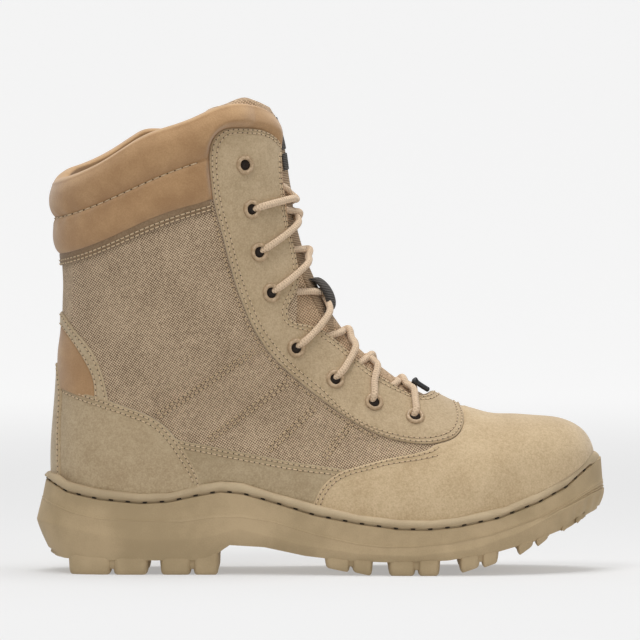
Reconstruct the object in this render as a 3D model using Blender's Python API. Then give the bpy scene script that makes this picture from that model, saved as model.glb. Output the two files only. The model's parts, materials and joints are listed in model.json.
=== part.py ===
"""Right combat boot, eight inches tall, laced, with a medial side zip.

Frame: +X to the toe, +Y medial, +Z up, origin under the middle of the outsole.
The upper is one form: a fan of section planes from the collar down and round to the
toe. Every piece of the upper is cut between two offsets of that form, so that all
of them keep the same facets and the same small clearance.
"""
import math

import bmesh
import bpy
import numpy as np

# Main sizes, metres
SOLE_LENGTH = 0.305
SOLE_WIDTH = 0.112
UPPER_HEIGHT = 0.248
BALL_WIDTH = 0.100
HEEL_WIDTH = 0.072
SHAFT_WIDTH = 0.080

# Walls and clearances, metres
GAP = 0.0003
WALL = 0.0022
SUEDE = 0.0014
TRIM = 0.0010
TONGUE_THICK = 0.0045
INSOLE_THICK = 0.0040
TONGUE_DEPTH = 0.0047
LINING = 0.0035
LACE_RADIUS = 0.0019
EYELET_RADIUS = 0.0055
EYELET_BORE = 0.0028
EYELET_FLANGE = 0.0009

# Grid of the form: stations down the boot, points round half a section
STATIONS = 25
ROUND = 9
CREST_CROWDING = 0.35
TOE_CROWDING = 0.55
FINE = 200
FLAT = 0.01

# One row per section plane: its front (crest) and back (base) as shares of length and
# height, half widths as shares of the named width, widest point from the crest, the
# roundness before and behind it, and the bow of the section line
SECTION_COLUMNS = ("crest_u", "crest_v", "base_u", "base_v", "lateral", "medial", "width",
                   "widest", "front_power", "back_power", "bow")
SECTIONS = (
    (0.402, 1.062, 0.035, 0.900, 0.487, 0.487, SHAFT_WIDTH, 0.50, 2.00, 2.10, 0.00),
    (0.425, 0.993, 0.037, 0.833, 0.494, 0.494, SHAFT_WIDTH, 0.50, 1.95, 2.10, 0.00),
    (0.442, 0.928, 0.040, 0.768, 0.494, 0.494, SHAFT_WIDTH, 0.50, 1.90, 2.10, 0.00),
    (0.451, 0.856, 0.044, 0.690, 0.487, 0.487, SHAFT_WIDTH, 0.50, 1.85, 2.05, 0.00),
    (0.463, 0.785, 0.045, 0.616, 0.479, 0.479, SHAFT_WIDTH, 0.50, 1.80, 2.00, 0.00),
    (0.479, 0.709, 0.045, 0.547, 0.470, 0.470, SHAFT_WIDTH, 0.50, 1.75, 1.95, 0.00),
    (0.498, 0.646, 0.044, 0.484, 0.463, 0.463, SHAFT_WIDTH, 0.52, 1.75, 1.95, 0.00),
    (0.523, 0.581, 0.042, 0.417, 0.507, 0.507, HEEL_WIDTH, 0.55, 1.75, 2.00, 0.00),
    (0.551, 0.525, 0.037, 0.337, 0.500, 0.500, HEEL_WIDTH, 0.60, 1.75, 2.10, 0.00),
    (0.576, 0.488, 0.033, 0.257, 0.500, 0.500, HEEL_WIDTH, 0.64, 1.75, 2.30, 0.00),
    (0.600, 0.462, 0.035, 0.170, 0.500, 0.500, HEEL_WIDTH, 0.67, 1.80, 2.50, 0.00),
    (0.623, 0.441, 0.058, 0.090, 0.505, 0.500, HEEL_WIDTH, 0.68, 1.85, 2.80, 0.00),
    (0.657, 0.410, 0.164, 0.060, 0.510, 0.505, HEEL_WIDTH, 0.68, 1.90, 3.20, 0.00),
    (0.699, 0.382, 0.296, 0.055, 0.382, 0.375, BALL_WIDTH, 0.68, 1.95, 3.60, 0.00),
    (0.739, 0.358, 0.437, 0.045, 0.425, 0.410, BALL_WIDTH, 0.69, 2.05, 4.00, 0.00),
    (0.783, 0.341, 0.572, 0.025, 0.478, 0.455, BALL_WIDTH, 0.71, 2.15, 4.00, 0.00),
    (0.833, 0.333, 0.660, 0.015, 0.498, 0.490, BALL_WIDTH, 0.74, 2.25, 4.00, 0.00),
    (0.882, 0.330, 0.673, 0.013, 0.498, 0.500, BALL_WIDTH, 0.79, 2.30, 4.00, 0.00),
    (0.917, 0.325, 0.680, 0.012, 0.490, 0.495, BALL_WIDTH, 0.83, 2.30, 4.00, 0.00),
    (0.944, 0.312, 0.686, 0.011, 0.485, 0.490, BALL_WIDTH, 0.87, 2.30, 4.00, 0.00),
    (0.962, 0.294, 0.691, 0.011, 0.480, 0.485, BALL_WIDTH, 0.89, 2.30, 4.00, 0.00),
    (0.973, 0.270, 0.695, 0.012, 0.475, 0.480, BALL_WIDTH, 0.90, 2.30, 4.00, 0.00),
    (0.978, 0.241, 0.699, 0.014, 0.470, 0.475, BALL_WIDTH, 0.90, 2.30, 4.00, 0.00),
    (0.978, 0.210, 0.702, 0.017, 0.465, 0.470, BALL_WIDTH, 0.90, 2.30, 4.00, -0.01),
    (0.972, 0.176, 0.704, 0.021, 0.460, 0.465, BALL_WIDTH, 0.90, 2.30, 4.00, -0.02),
    (0.952, 0.080, 0.706, 0.022, 0.450, 0.455, BALL_WIDTH, 0.90, 2.30, 4.00, -0.04),
)

# Middle line of the last: share of length, offset to the medial side in metres
SWING = ((-0.10, -0.0030), (0.30, -0.0030), (0.45, -0.0032), (0.58, -0.0024), (0.68, -0.0008),
         (0.78, 0.0013), (0.88, 0.0038), (0.95, 0.0056), (1.10, 0.0080))

# Outline of the outsole: share of length, lateral and medial edge in metres
OUTLINE = (
    (0.000, -0.0030, -0.0030), (0.013, -0.0220, 0.0160), (0.045, -0.0345, 0.0285),
    (0.100, -0.0420, 0.0360), (0.180, -0.0450, 0.0390), (0.280, -0.0448, 0.0380),
    (0.380, -0.0465, 0.0370), (0.480, -0.0500, 0.0412), (0.580, -0.0542, 0.0490),
    (0.660, -0.0560, 0.0540), (0.740, -0.0550, 0.0560), (0.820, -0.0496, 0.0545),
    (0.890, -0.0398, 0.0490), (0.945, -0.0265, 0.0398), (0.980, -0.0110, 0.0280),
    (1.000, 0.0085, 0.0085),
)

# Lines of the side view, as shares of length and height
FEATHER = ((-0.012, 0.218), (0.025, 0.210), (0.049, 0.197), (0.111, 0.182), (0.185, 0.173),
           (0.238, 0.175), (0.292, 0.193), (0.324, 0.199), (0.361, 0.196), (0.414, 0.175),
           (0.486, 0.151), (0.562, 0.129), (0.636, 0.119), (0.692, 0.118), (0.738, 0.124),
           (0.824, 0.145), (0.886, 0.176), (0.935, 0.209), (0.960, 0.233), (0.982, 0.261),
           (1.009, 0.296))
GROOVE = ((-0.012, 0.205), (0.014, 0.194), (0.049, 0.175), (0.111, 0.160), (0.185, 0.152),
          (0.234, 0.155), (0.283, 0.168), (0.324, 0.177), (0.361, 0.173), (0.414, 0.155),
          (0.488, 0.127), (0.562, 0.110), (0.636, 0.098), (0.685, 0.097), (0.738, 0.103),
          (0.812, 0.121), (0.886, 0.154), (0.935, 0.184), (0.960, 0.209), (0.986, 0.233),
          (1.012, 0.257))
STEP = ((-0.012, 0.166), (0.012, 0.152), (0.062, 0.131), (0.111, 0.118), (0.185, 0.114),
        (0.259, 0.112), (0.308, 0.121), (0.357, 0.123), (0.414, 0.113), (0.488, 0.086),
        (0.562, 0.066), (0.611, 0.060), (0.660, 0.061), (0.727, 0.069), (0.798, 0.086),
        (0.886, 0.122), (0.938, 0.153), (0.982, 0.183), (1.012, 0.200))
WIDEST = ((-0.012, 0.116), (0.062, 0.101), (0.111, 0.086), (0.185, 0.075), (0.287, 0.077),
          (0.357, 0.100), (0.463, 0.066), (0.562, 0.048), (0.660, 0.043), (0.762, 0.057),
          (0.850, 0.094), (0.921, 0.138), (0.974, 0.166), (1.012, 0.180))
TREAD = ((-0.012, 0.046), (0.040, 0.034), (0.100, 0.031), (0.300, 0.031), (0.318, 0.045),
         (0.340, 0.064), (0.400, 0.060), (0.470, 0.042), (0.540, 0.032), (0.620, 0.029),
         (0.720, 0.033), (0.800, 0.048), (0.870, 0.076), (0.930, 0.107), (0.970, 0.135),
         (1.012, 0.160))
FLOOR = ((-0.030, 0.127), (0.040, 0.127), (0.185, 0.120), (0.322, 0.125), (0.428, 0.099),
         (0.533, 0.075), (0.639, 0.064), (0.727, 0.064), (0.850, 0.088), (0.921, 0.116),
         (0.974, 0.146), (1.012, 0.170))
OPENING = ((-0.030, 0.823), (0.002, 0.832), (0.035, 0.839), (0.089, 0.860), (0.156, 0.898),
           (0.223, 0.939), (0.285, 0.975), (0.324, 0.996), (0.375, 1.000), (0.408, 0.984),
           (0.422, 0.963), (0.428, 0.924), (0.430, 0.867), (0.435, 0.813), (0.441, 0.755),
           (0.450, 0.697), (0.458, 0.646), (0.456, 0.610), (0.444, 0.581), (0.441, 0.558),
           (0.450, 0.541), (0.472, 0.534), (0.500, 0.521), (0.526, 0.497), (0.551, 0.468),
           (0.589, 0.430), (0.621, 0.405), (0.651, 0.384), (0.671, 0.378), (0.688, 0.384),
           (0.698, 0.402), (0.701, 0.430))
TONGUE_EDGE = ((0.300, 0.960), (0.308, 0.996), (0.340, 1.012), (0.368, 1.026), (0.386, 1.031),
               (0.402, 1.026), (0.430, 1.005))
TONGUE_BACK = ((0.300, 0.960), (0.312, 0.850), (0.334, 0.740), (0.366, 0.640), (0.400, 0.560),
               (0.440, 0.490), (0.500, 0.425), (0.570, 0.375), (0.640, 0.345), (0.690, 0.338),
               (0.720, 0.350), (0.735, 0.390))
COUNTER = ((0.002, 0.410), (0.026, 0.409), (0.048, 0.407), (0.076, 0.395), (0.107, 0.382),
           (0.151, 0.364), (0.181, 0.351), (0.210, 0.335), (0.229, 0.317), (0.245, 0.296),
           (0.268, 0.257), (0.283, 0.224), (0.292, 0.194), (0.296, 0.170))
MUDGUARD = ((0.225, 0.300), (0.252, 0.289), (0.287, 0.280), (0.340, 0.267), (0.401, 0.253),
            (0.463, 0.239), (0.516, 0.230), (0.551, 0.224))
VAMP = ((0.474, 0.120), (0.487, 0.152), (0.500, 0.185), (0.521, 0.211), (0.542, 0.224),
        (0.563, 0.231), (0.616, 0.248), (0.671, 0.261), (0.688, 0.269), (0.701, 0.281))
EYESTAY = ((0.445, 0.905), (0.430, 0.911), (0.423, 0.925), (0.408, 0.944), (0.389, 0.953),
           (0.357, 0.956), (0.326, 0.951), (0.311, 0.933), (0.305, 0.904), (0.307, 0.846),
           (0.313, 0.796), (0.320, 0.761), (0.332, 0.701), (0.343, 0.651), (0.364, 0.576),
           (0.382, 0.523), (0.396, 0.497), (0.423, 0.455), (0.468, 0.404), (0.513, 0.361),
           (0.557, 0.324), (0.600, 0.298), (0.643, 0.283), (0.683, 0.278), (0.713, 0.283),
           (0.738, 0.298), (0.748, 0.324), (0.746, 0.345), (0.732, 0.374), (0.720, 0.402))
COLLAR = ((-0.030, 0.678), (0.005, 0.681), (0.026, 0.685), (0.048, 0.690), (0.122, 0.718),
          (0.190, 0.756), (0.257, 0.787), (0.308, 0.805), (0.331, 0.811))
BINDING = ((-0.030, 0.650), (0.005, 0.653), (0.026, 0.657), (0.048, 0.662), (0.122, 0.691),
           (0.190, 0.728), (0.257, 0.759), (0.308, 0.778), (0.331, 0.784))
TRIM_OUT = ((-0.020, 0.574), (0.005, 0.573), (0.026, 0.572), (0.043, 0.564), (0.058, 0.541),
            (0.079, 0.510), (0.098, 0.482), (0.112, 0.451), (0.121, 0.420), (0.129, 0.379),
            (0.134, 0.348))
TRIM_IN = ((-0.020, 0.549), (0.005, 0.549), (0.026, 0.547), (0.040, 0.538), (0.051, 0.523),
           (0.074, 0.485), (0.087, 0.460), (0.097, 0.437), (0.104, 0.413), (0.106, 0.385),
           (0.107, 0.348))
BACKSTAY = ((0.035, 0.512), (0.038, 0.471), (0.041, 0.441), (0.046, 0.410), (0.049, 0.386),
            (0.048, 0.348), (0.047, 0.270), (0.046, 0.210))
ZIP_LINE = ((0.196, 0.930), (0.212, 0.800), (0.228, 0.660), (0.246, 0.520), (0.266, 0.400),
            (0.276, 0.330))

# Collar's outer roll from its lower edge to its top: share of the way up, offset in metres
ROLL_COLUMNS = ("share", "offset")
ROLL = (
    (0.00, 0.0016), (0.08, 0.0036), (0.22, 0.0044), (0.38, 0.0034), (0.47, 0.0024),
    (0.57, 0.0044), (0.74, 0.0062), (0.92, 0.0048),
)
ROLL_AT_ZIP = 0.0011
ZIP_COLUMNS = 0.6
ZIP_ROW = 12
COLLAR_END = 0.297
COLLAR_CHANNEL = 0.0005
COLLAR_TOP = 0.0034

# Laces: where each crossing lies on the crest, top one first
CROSSINGS = (0.472, 0.482, 0.506, 0.540, 0.588, 0.630)
LACE_SHARES = (0.0, 0.25, 0.5, 0.7, 0.85)
LACE_CREST = -0.0013
LACE_LAP = 0.0004
LACE_STOP = 0.0024
LACE_EDGE = 0.0008
LACE_DROP = 0.0060
BAR_CREST = 0.663
BAR_COLUMNS = (-0.5, 0.0, 0.5)
TAG = ((0.652, 0.400), (0.665, 0.440), (0.712, 0.415), (0.700, 0.370))
TAG_SEAT = 0.0022
TAG_THICK = 0.0022
TAG_WIDTH = 0.0060

# Dark webbing on the tongue, side view
LABEL = ((0.380, 0.990), (0.460, 1.010), (0.480, 0.870), (0.400, 0.880))
LOOP = ((0.495, 0.581), (0.537, 0.605), (0.544, 0.585), (0.503, 0.560))

# Zip
ZIP_SEAT = 0.0018
ZIP_TAPE = 0.011
ZIP_COIL = 0.0050
ZIP_RISE = 0.0014
ZIP_STEPS = 11
SLIDER_BODY = 0.0024
PULL_LENGTH = 0.024
PULL_WIDTH = 0.0062
PULL_THICK = 0.0010
PIN_RADIUS = 0.0005
PIN_DOWN = -0.0030
PIN_RISE = 0.0042
KNUCKLE_RADIUS = 0.0013
EAR_INNER = 0.0022
EAR_OUTER = 0.0032

# Lace eyelets of one side, top to bottom, as shares of length and height
EYELETS = ((0.364, 0.876), (0.376, 0.781), (0.389, 0.689), (0.410, 0.602), (0.453, 0.483),
           (0.521, 0.415), (0.589, 0.365), (0.661, 0.334))

# Main lugs in the side view: near and far end as shares of length, and how far the
# tread is over the floor at each end, as shares of height
LUG_COLUMNS = ("start", "end", "lift_start", "lift_end")
LUGS = (
    (0.062, 0.197, 0.000, 0.000), (0.222, 0.320, 0.000, 0.000), (0.509, 0.588, 0.016, 0.000),
    (0.619, 0.705, 0.000, 0.000), (0.743, 0.807, 0.006, 0.026), (0.844, 0.896, 0.042, 0.074),
    (0.922, 0.962, 0.090, 0.118),
)

# Outsole rings, top to bottom: side line, and the inset from the outline at the sides,
# heel and toe in metres
RING_COLUMNS = ("line", "side_inset", "heel_inset", "toe_inset")
RINGS = (
    (GROOVE, 0.0030, 0.0050, 0.0018),
    (STEP, 0.0012, 0.0028, 0.0006),
    (WIDEST, 0.0000, 0.0000, 0.0000),
    (TREAD, 0.0026, 0.0045, 0.0030),
)
# Welt rings, top to bottom: side line, the three insets, and the rise over the line
WELT_RINGS = (
    (FEATHER, 0.0040, 0.0066, 0.0042, 0.0000),
    (FEATHER, 0.0026, 0.0052, 0.0028, -0.0016),
    (GROOVE, 0.0024, 0.0048, 0.0018, 0.0018),
    (GROOVE, 0.0034, 0.0058, 0.0028, GAP),
)
RING_POINTS = 60
LUG_INSET = 0.0032
LUG_DRAFT = 0.0015
LUG_CHANNEL = 0.020

MIDDLE = 0.5


def spline(knots, values, at):
    """Natural cubic through the values at the knots, evaluated at the given places."""
    knots = np.asarray(knots, float)
    values = np.asarray(values, float)
    count = len(knots)
    step = np.diff(knots)
    matrix = np.zeros((count, count))
    right = np.zeros((count,) + values.shape[1:])
    matrix[0, 0] = 1.0
    matrix[-1, -1] = 1.0
    slope = (np.diff(values, axis=0).T / step).T
    for row in range(1, count - 1):
        matrix[row, row - 1] = step[row - 1]
        matrix[row, row] = 2.0 * (step[row - 1] + step[row])
        matrix[row, row + 1] = step[row]
        right[row] = 3.0 * (slope[row] - slope[row - 1])
    bend = np.linalg.solve(matrix, right)
    at = np.clip(np.asarray(at, float), knots[0], knots[-1])
    piece = np.clip(np.searchsorted(knots, at, side="right") - 1, 0, count - 2)
    along = at - knots[piece]
    if values.ndim > 1:
        along = along[..., None]
        width = step[piece][..., None]
    else:
        width = step[piece]
    first = slope[piece] - width * (2.0 * bend[piece] + bend[piece + 1]) / 3.0
    third = (bend[piece + 1] - bend[piece]) / (3.0 * width)
    return values[piece] + along * (first + along * (bend[piece] + along * third))


def side_x(share):
    """Length share to world X."""
    return (np.asarray(share) - MIDDLE) * SOLE_LENGTH


def level(line, x):
    """World Z of a side-view line at world X."""
    table = np.asarray(line)
    return np.interp(x, side_x(table[:, 0]), table[:, 1] * UPPER_HEIGHT)


def smooth_line(line, spacing=0.006):
    """Side-view line in metres, drawn as a cubic with points about every spacing."""
    table = np.asarray(line)
    points = np.stack([side_x(table[:, 0]), table[:, 1] * UPPER_HEIGHT], axis=1)
    along = np.concatenate([[0.0], np.cumsum(np.linalg.norm(np.diff(points, axis=0), axis=1))])
    count = max(2, int(round(along[-1] / spacing)) + 1)
    return spline(along, points, np.linspace(0.0, along[-1], count))


def swing(x):
    """Sideways place of the last's middle line at world X."""
    table = np.asarray(SWING)
    return spline(table[:, 0], table[:, 1], x / SOLE_LENGTH + MIDDLE)


def section_rows(place):
    """Section columns at places from 0 (top) to 1 (toe)."""
    table = np.array([row[:6] + row[7:] for row in SECTIONS])
    widths = np.array([row[6] for row in SECTIONS])
    table[:, 4] *= widths
    table[:, 5] *= widths
    knots = np.linspace(0.0, 1.0, len(SECTIONS))
    return spline(knots, table, place)


def form_ring(row, offset):
    """One closed section of the form, from the base by the lateral side and the crest."""
    crest = np.array([side_x(row[0]), row[1] * UPPER_HEIGHT])
    base = np.array([side_x(row[2]), row[3] * UPPER_HEIGHT])
    lateral, medial, widest, front, back, bow = row[4:]
    chord = crest - base
    reach = np.linalg.norm(chord)
    ahead = chord / reach
    across = np.array([-ahead[1], ahead[0]])
    angle = np.linspace(0.0, math.pi, FINE)
    cos = np.cos(angle)
    sin = np.sin(angle)
    near = angle <= math.pi / 2
    depth = np.where(near, widest * (1.0 - np.abs(cos) ** (2.0 / front)),
                     widest + (1.0 - widest) * np.abs(cos) ** (2.0 / back))
    part = np.where(near, np.abs(sin) ** (2.0 / front), np.abs(sin) ** (2.0 / back))
    arc = np.hypot(np.diff(depth * reach), np.diff(part * (lateral + medial) / 2.0))
    girth = np.concatenate([[0.0], np.cumsum(arc)])
    share = np.linspace(0.0, 1.0, ROUND + 1)
    even = (share + CREST_CROWDING * (share ** 2 - share)) * girth[-1]
    depth = np.interp(even, girth, depth)
    part = np.interp(even, girth, part)
    stretched = depth * (reach + 2.0 * offset) - offset
    side = (crest - np.outer(stretched, ahead)
            + np.outer(4.0 * depth * (1.0 - depth) * bow * reach, across))
    middle = swing(side[:, 0])
    near_side = np.stack([side[:, 0], middle - part * (lateral + offset), side[:, 1]], axis=1)
    far_side = np.stack([side[:, 0], middle + part * (medial + offset), side[:, 1]], axis=1)
    return np.concatenate([near_side[::-1], far_side[1:-1]])


def stations_along(start, end, stations):
    """Places along the fan: even by distance, crowded towards the toe's tight rows."""
    fine = np.linspace(start, end, FINE)
    rows = section_rows(fine)
    moves = np.diff(rows[:, :4] * np.array([SOLE_LENGTH, UPPER_HEIGHT] * 2), axis=0)
    steps = np.hypot(moves[:, 0], moves[:, 1]) + np.hypot(moves[:, 2], moves[:, 3])
    along = np.concatenate([[0.0], np.cumsum(steps)])
    even = np.interp(np.linspace(0.0, along[-1], stations), along, fine)
    return even + (np.linspace(start, end, stations) - even) * TOE_CROWDING


def form_rings(offset, start=0.0, end=1.0, stations=STATIONS):
    """Rings of the form at a given offset, between two places along the fan."""
    rows = section_rows(stations_along(start, end, stations))
    if np.ndim(offset) == 0:
        offset = np.full(stations, offset)
    return [form_ring(row, step) for row, step in zip(rows, offset)]


def collection(name):
    """A new collection in the scene."""
    made = bpy.data.collections.new(name)
    bpy.context.scene.collection.children.link(made)
    return made


def paint(name, colour, roughness, metallic=0.0):
    """Principled material from an sRGB colour."""
    linear = [((c + 0.055) / 1.055) ** 2.4 if c > 0.04045 else c / 12.92 for c in colour]
    made = bpy.data.materials.new(name)
    made.use_nodes = True
    shader = made.node_tree.nodes["Principled BSDF"]
    shader.inputs["Base Color"].default_value = (*linear, 1.0)
    shader.inputs["Roughness"].default_value = roughness
    shader.inputs["Metallic"].default_value = metallic
    return made


class Bench:
    """Makes objects from rings and prisms, and cuts them with Booleans."""

    def __init__(self):
        self.parts = collection("combat_boot")
        self.cutters = collection("cutters")

    def mesh(self, name, vertices, faces, cutter=False):
        """Object from vertices and faces, with its faces turned out."""
        data = bpy.data.meshes.new(name)
        data.from_pydata([tuple(float(c) for c in v) for v in vertices], [], faces)
        shape = bmesh.new()
        shape.from_mesh(data)
        bmesh.ops.remove_doubles(shape, verts=shape.verts, dist=0.00001)
        bmesh.ops.recalc_face_normals(shape, faces=shape.faces)
        if shape.calc_volume(signed=True) < 0.0:
            bmesh.ops.reverse_faces(shape, faces=shape.faces)
        shape.to_mesh(data)
        shape.free()
        made = bpy.data.objects.new(name, data)
        if cutter:
            self.cutters.objects.link(made)
            made.hide_render = True
            made.display_type = "WIRE"
        else:
            self.parts.objects.link(made)
        return made

    def loft(self, name, rings, cutter=False):
        """Closed solid through closed rings of equal count, with flat ends."""
        count = len(rings[0])
        faces = []
        for ring in range(len(rings) - 1):
            for point in range(count):
                after = (point + 1) % count
                a = ring * count + point
                b = ring * count + after
                faces.append((a, b, b + count))
                faces.append((a, b + count, a + count))
        last = (len(rings) - 1) * count
        faces.append(tuple(range(count)))
        faces.append(tuple(last + point for point in reversed(range(count))))
        return self.mesh(name, np.concatenate(rings), faces, cutter)

    def shell(self, name, outer, inner, cutter=False):
        """Closed wall between two lofts of the same rings, open at both ends."""
        count = len(outer[0])
        rows = len(outer)
        total = rows * count
        faces = []
        for ring in range(rows - 1):
            for point in range(count):
                after = (point + 1) % count
                a = ring * count + point
                b = ring * count + after
                c = b + count
                d = a + count
                faces.append((a, b, c))
                faces.append((a, c, d))
                faces.append((total + a, total + c, total + b))
                faces.append((total + a, total + d, total + c))
        for start, turn in ((0, 1), ((rows - 1) * count, -1)):
            for point in range(count):
                after = (point + 1) % count
                loop = (start + after, start + point, total + start + point,
                        total + start + after)
                faces.append(loop[::turn])
        return self.mesh(name, np.concatenate(outer + inner), faces, cutter)

    def prism(self, name, outline, low=-0.2, high=0.2):
        """Side-view outline drawn out across the boot, as a cutter."""
        count = len(outline)
        near = [(x, low, z) for x, z in outline]
        far = [(x, high, z) for x, z in outline]
        faces = [tuple(range(count)), tuple(range(2 * count - 1, count - 1, -1))]
        for point in range(count):
            after = (point + 1) % count
            faces.append((point, count + point, count + after, after))
        return self.mesh(name, near + far, faces, cutter=True)

    def cut(self, target, cutter, operation="DIFFERENCE"):
        """Exact Boolean, applied."""
        step = target.modifiers.new(operation.lower(), "BOOLEAN")
        step.object = cutter
        step.operation = operation
        step.solver = "EXACT"
        graph = bpy.context.evaluated_depsgraph_get()
        data = bpy.data.meshes.new_from_object(target.evaluated_get(graph))
        target.modifiers.clear()
        old = target.data
        target.data = data
        bpy.data.meshes.remove(old)
        return target

    def finish(self, target, material, angle=40.0):
        """Clean tiny edges, shade and paint a piece."""
        shape = bmesh.new()
        shape.from_mesh(target.data)
        bmesh.ops.remove_doubles(shape, verts=shape.verts, dist=0.00002)
        bmesh.ops.dissolve_limit(shape, angle_limit=FLAT, verts=shape.verts, edges=shape.edges)
        bmesh.ops.triangulate(shape, faces=shape.faces)
        shape.to_mesh(target.data)
        shape.free()
        target.data.materials.clear()
        target.data.materials.append(material)
        target.data.shade_smooth()
        target.data.set_sharp_from_angle(angle=math.radians(angle))
        return target


def sole_outline():
    """Plan outline of the outsole with its outward normals, heel back to heel back."""
    table = np.asarray(OUTLINE)
    x = side_x(table[:, 0])
    lateral = np.stack([x, table[:, 1]], axis=1)
    medial = np.stack([x, table[:, 2]], axis=1)[::-1]
    loop = np.concatenate([lateral, medial[1:-1]])
    wrapped = np.concatenate([loop[-4:], loop, loop[:5]])
    along = np.concatenate([[0.0], np.cumsum(np.linalg.norm(np.diff(wrapped, axis=0), axis=1))])
    start, stop = along[4], along[4 + len(loop)]
    points = spline(along, wrapped, np.linspace(start, stop, RING_POINTS + 1)[:-1])
    low, high = points.min(axis=0), points.max(axis=0)
    size = np.array([SOLE_LENGTH, SOLE_WIDTH])
    points = (points - (low + high) / 2.0) / (high - low) * size
    tangent = np.roll(points, -1, axis=0) - np.roll(points, 1, axis=0)
    normal = np.stack([tangent[:, 1], -tangent[:, 0]], axis=1)
    normal /= np.linalg.norm(normal, axis=1)[:, None]
    if np.mean(np.sum(normal * points, axis=1)) < 0.0:
        normal = -normal
    return points, normal


def sole_ring(line, side_inset, heel_inset, toe_inset, rise=0.0):
    """Ring of the outsole at a side-view line, drawn in from the outline."""
    points, normal = sole_outline()
    facing = normal[:, 0] ** 2
    end_inset = np.where(normal[:, 0] < 0.0, heel_inset, toe_inset)
    inset = side_inset + (end_inset - side_inset) * facing
    plan = points - normal * inset[:, None]
    return np.stack([plan[:, 0], plan[:, 1], level(line, plan[:, 0]) + rise], axis=1)


def cap_rows(ring, columns=3):
    """Rows of points across a ring between its lateral and medial points."""
    half = RING_POINTS // 2
    rows = []
    for place in range(1, half):
        near = ring[place]
        far = ring[RING_POINTS - place]
        rows.append([near + (far - near) * share for share in np.linspace(0.0, 1.0, columns + 2)])
    return rows


def ruled_body(bench, name, rings, top_line, bottom_line, cutter=False):
    """Solid through sole rings, its top and bottom ruled across by side-view lines."""
    vertices = [tuple(p) for p in np.concatenate(rings)]
    faces = []
    count = RING_POINTS
    for ring in range(len(rings) - 1):
        for point in range(count):
            after = (point + 1) % count
            faces.append((ring * count + point, ring * count + after,
                          (ring + 1) * count + after, (ring + 1) * count + point))
    for base, ring, line in ((0, rings[0], top_line), ((len(rings) - 1) * count, rings[-1],
                                                       bottom_line)):
        rows = cap_rows(ring)
        index = []
        for place, row in enumerate(rows, start=1):
            inner = []
            for point in row[1:-1]:
                vertices.append((point[0], point[1], level(line, point[0]) if line is not None
                                 else point[2]))
                inner.append(len(vertices) - 1)
            index.append([base + place] + inner + [base + count - place])
        heel = base
        toe = base + count // 2
        for left, right in zip(index[0][:-1], index[0][1:]):
            faces.append((heel, left, right))
        for left, right in zip(index[-1][:-1], index[-1][1:]):
            faces.append((toe, left, right))
        for first, second in zip(index[:-1], index[1:]):
            for spot in range(len(first) - 1):
                faces.append((first[spot], first[spot + 1], second[spot + 1], second[spot]))
    return bench.mesh(name, vertices, faces, cutter)


def region(upper_line, lower_line):
    """Closed side-view outline between two lines that both run heel to toe."""
    return np.concatenate([upper_line, lower_line[::-1]])


def shifted(points, rise):
    """Side-view points moved up."""
    return points + np.array([0.0, rise])


def make_outsole(bench, paints):
    """Cup outsole: ringed body, lugs joined under it, and the room for the upper."""
    rings = [sole_ring(*row) for row in RINGS]
    body = ruled_body(bench, "outsole", rings, GROOVE, TREAD)
    ground = ((-1.0, 0.0), (2.0, 0.0))
    stock_rings = [
        sole_ring(TREAD, LUG_INSET, LUG_INSET + 0.0022, LUG_INSET + 0.0010, 0.0020),
        sole_ring(ground, LUG_INSET + 0.0004, LUG_INSET + 0.0030, LUG_INSET + 0.0018, -0.0020),
    ]
    stock = ruled_body(bench, "lug_stock", stock_rings, None, None, cutter=True)
    blocks = []
    for number, (start, end, lift_start, lift_end) in enumerate(LUGS):
        x0, x1 = side_x(start), side_x(end)
        z0, z1 = lift_start * UPPER_HEIGHT, lift_end * UPPER_HEIGHT
        outline = [(x0 - LUG_DRAFT, level(TREAD, x0) + 0.01), (x0, z0), (x1, z1),
                   (x1 + LUG_DRAFT, level(TREAD, x1) + 0.01)]
        for side, edge in (("a", -1.0), ("b", 1.0)):
            low, high = sorted((edge * LUG_CHANNEL / 2.0, edge * 0.1))
            blocks.append(bench.prism(f"lug_{number}{side}", outline, low, high))
    lugs = join(bench, "lug_blocks", blocks)
    bench.cut(stock, lugs, "INTERSECT")
    bench.cut(body, stock, "UNION")
    room = form_room(bench, "cup_room", GAP, 0.0)
    bench.cut(body, room)
    return bench.finish(body, paints["sole"], 35.0)


def join(bench, name, objects):
    """One cutter object from several separate closed ones."""
    vertices = []
    faces = []
    for item in objects:
        base = len(vertices)
        vertices += [tuple(v.co) for v in item.data.vertices]
        faces += [tuple(base + v for v in p.vertices) for p in item.data.polygons]
        bpy.data.objects.remove(item)
    return bench.mesh(name, vertices, faces, cutter=True)


def form_room(bench, name, offset, rise):
    """The form as a closed cutter over the floor line."""
    solid = bench.loft(name, form_rings(offset), cutter=True)
    floor = smooth_line(FLOOR, 0.012)
    over = np.array([(floor[-1, 0], 0.5), (floor[0, 0], 0.5)])
    keep = bench.prism(name + "_keep", np.concatenate([shifted(floor, rise), over]))
    return bench.cut(solid, keep, "INTERSECT")


def make_upper(bench, paints):
    """Base layer of the upper: one hollow wall, open at collar, throat and underneath."""
    wall = bench.shell("upper", form_rings(0.0), form_rings(-WALL))
    opening = smooth_line(OPENING, 0.010)
    floor = smooth_line(FLOOR, 0.012)
    floor = shifted(floor[::-1], GAP)
    toe = np.array([(floor[0, 0] + 0.01, opening[-1, 1])])
    outline = np.concatenate([opening, toe, floor])
    keep = bench.prism("upper_keep", outline)
    bench.cut(wall, keep, "INTERSECT")
    return bench.finish(wall, paints["nylon"])


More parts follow.
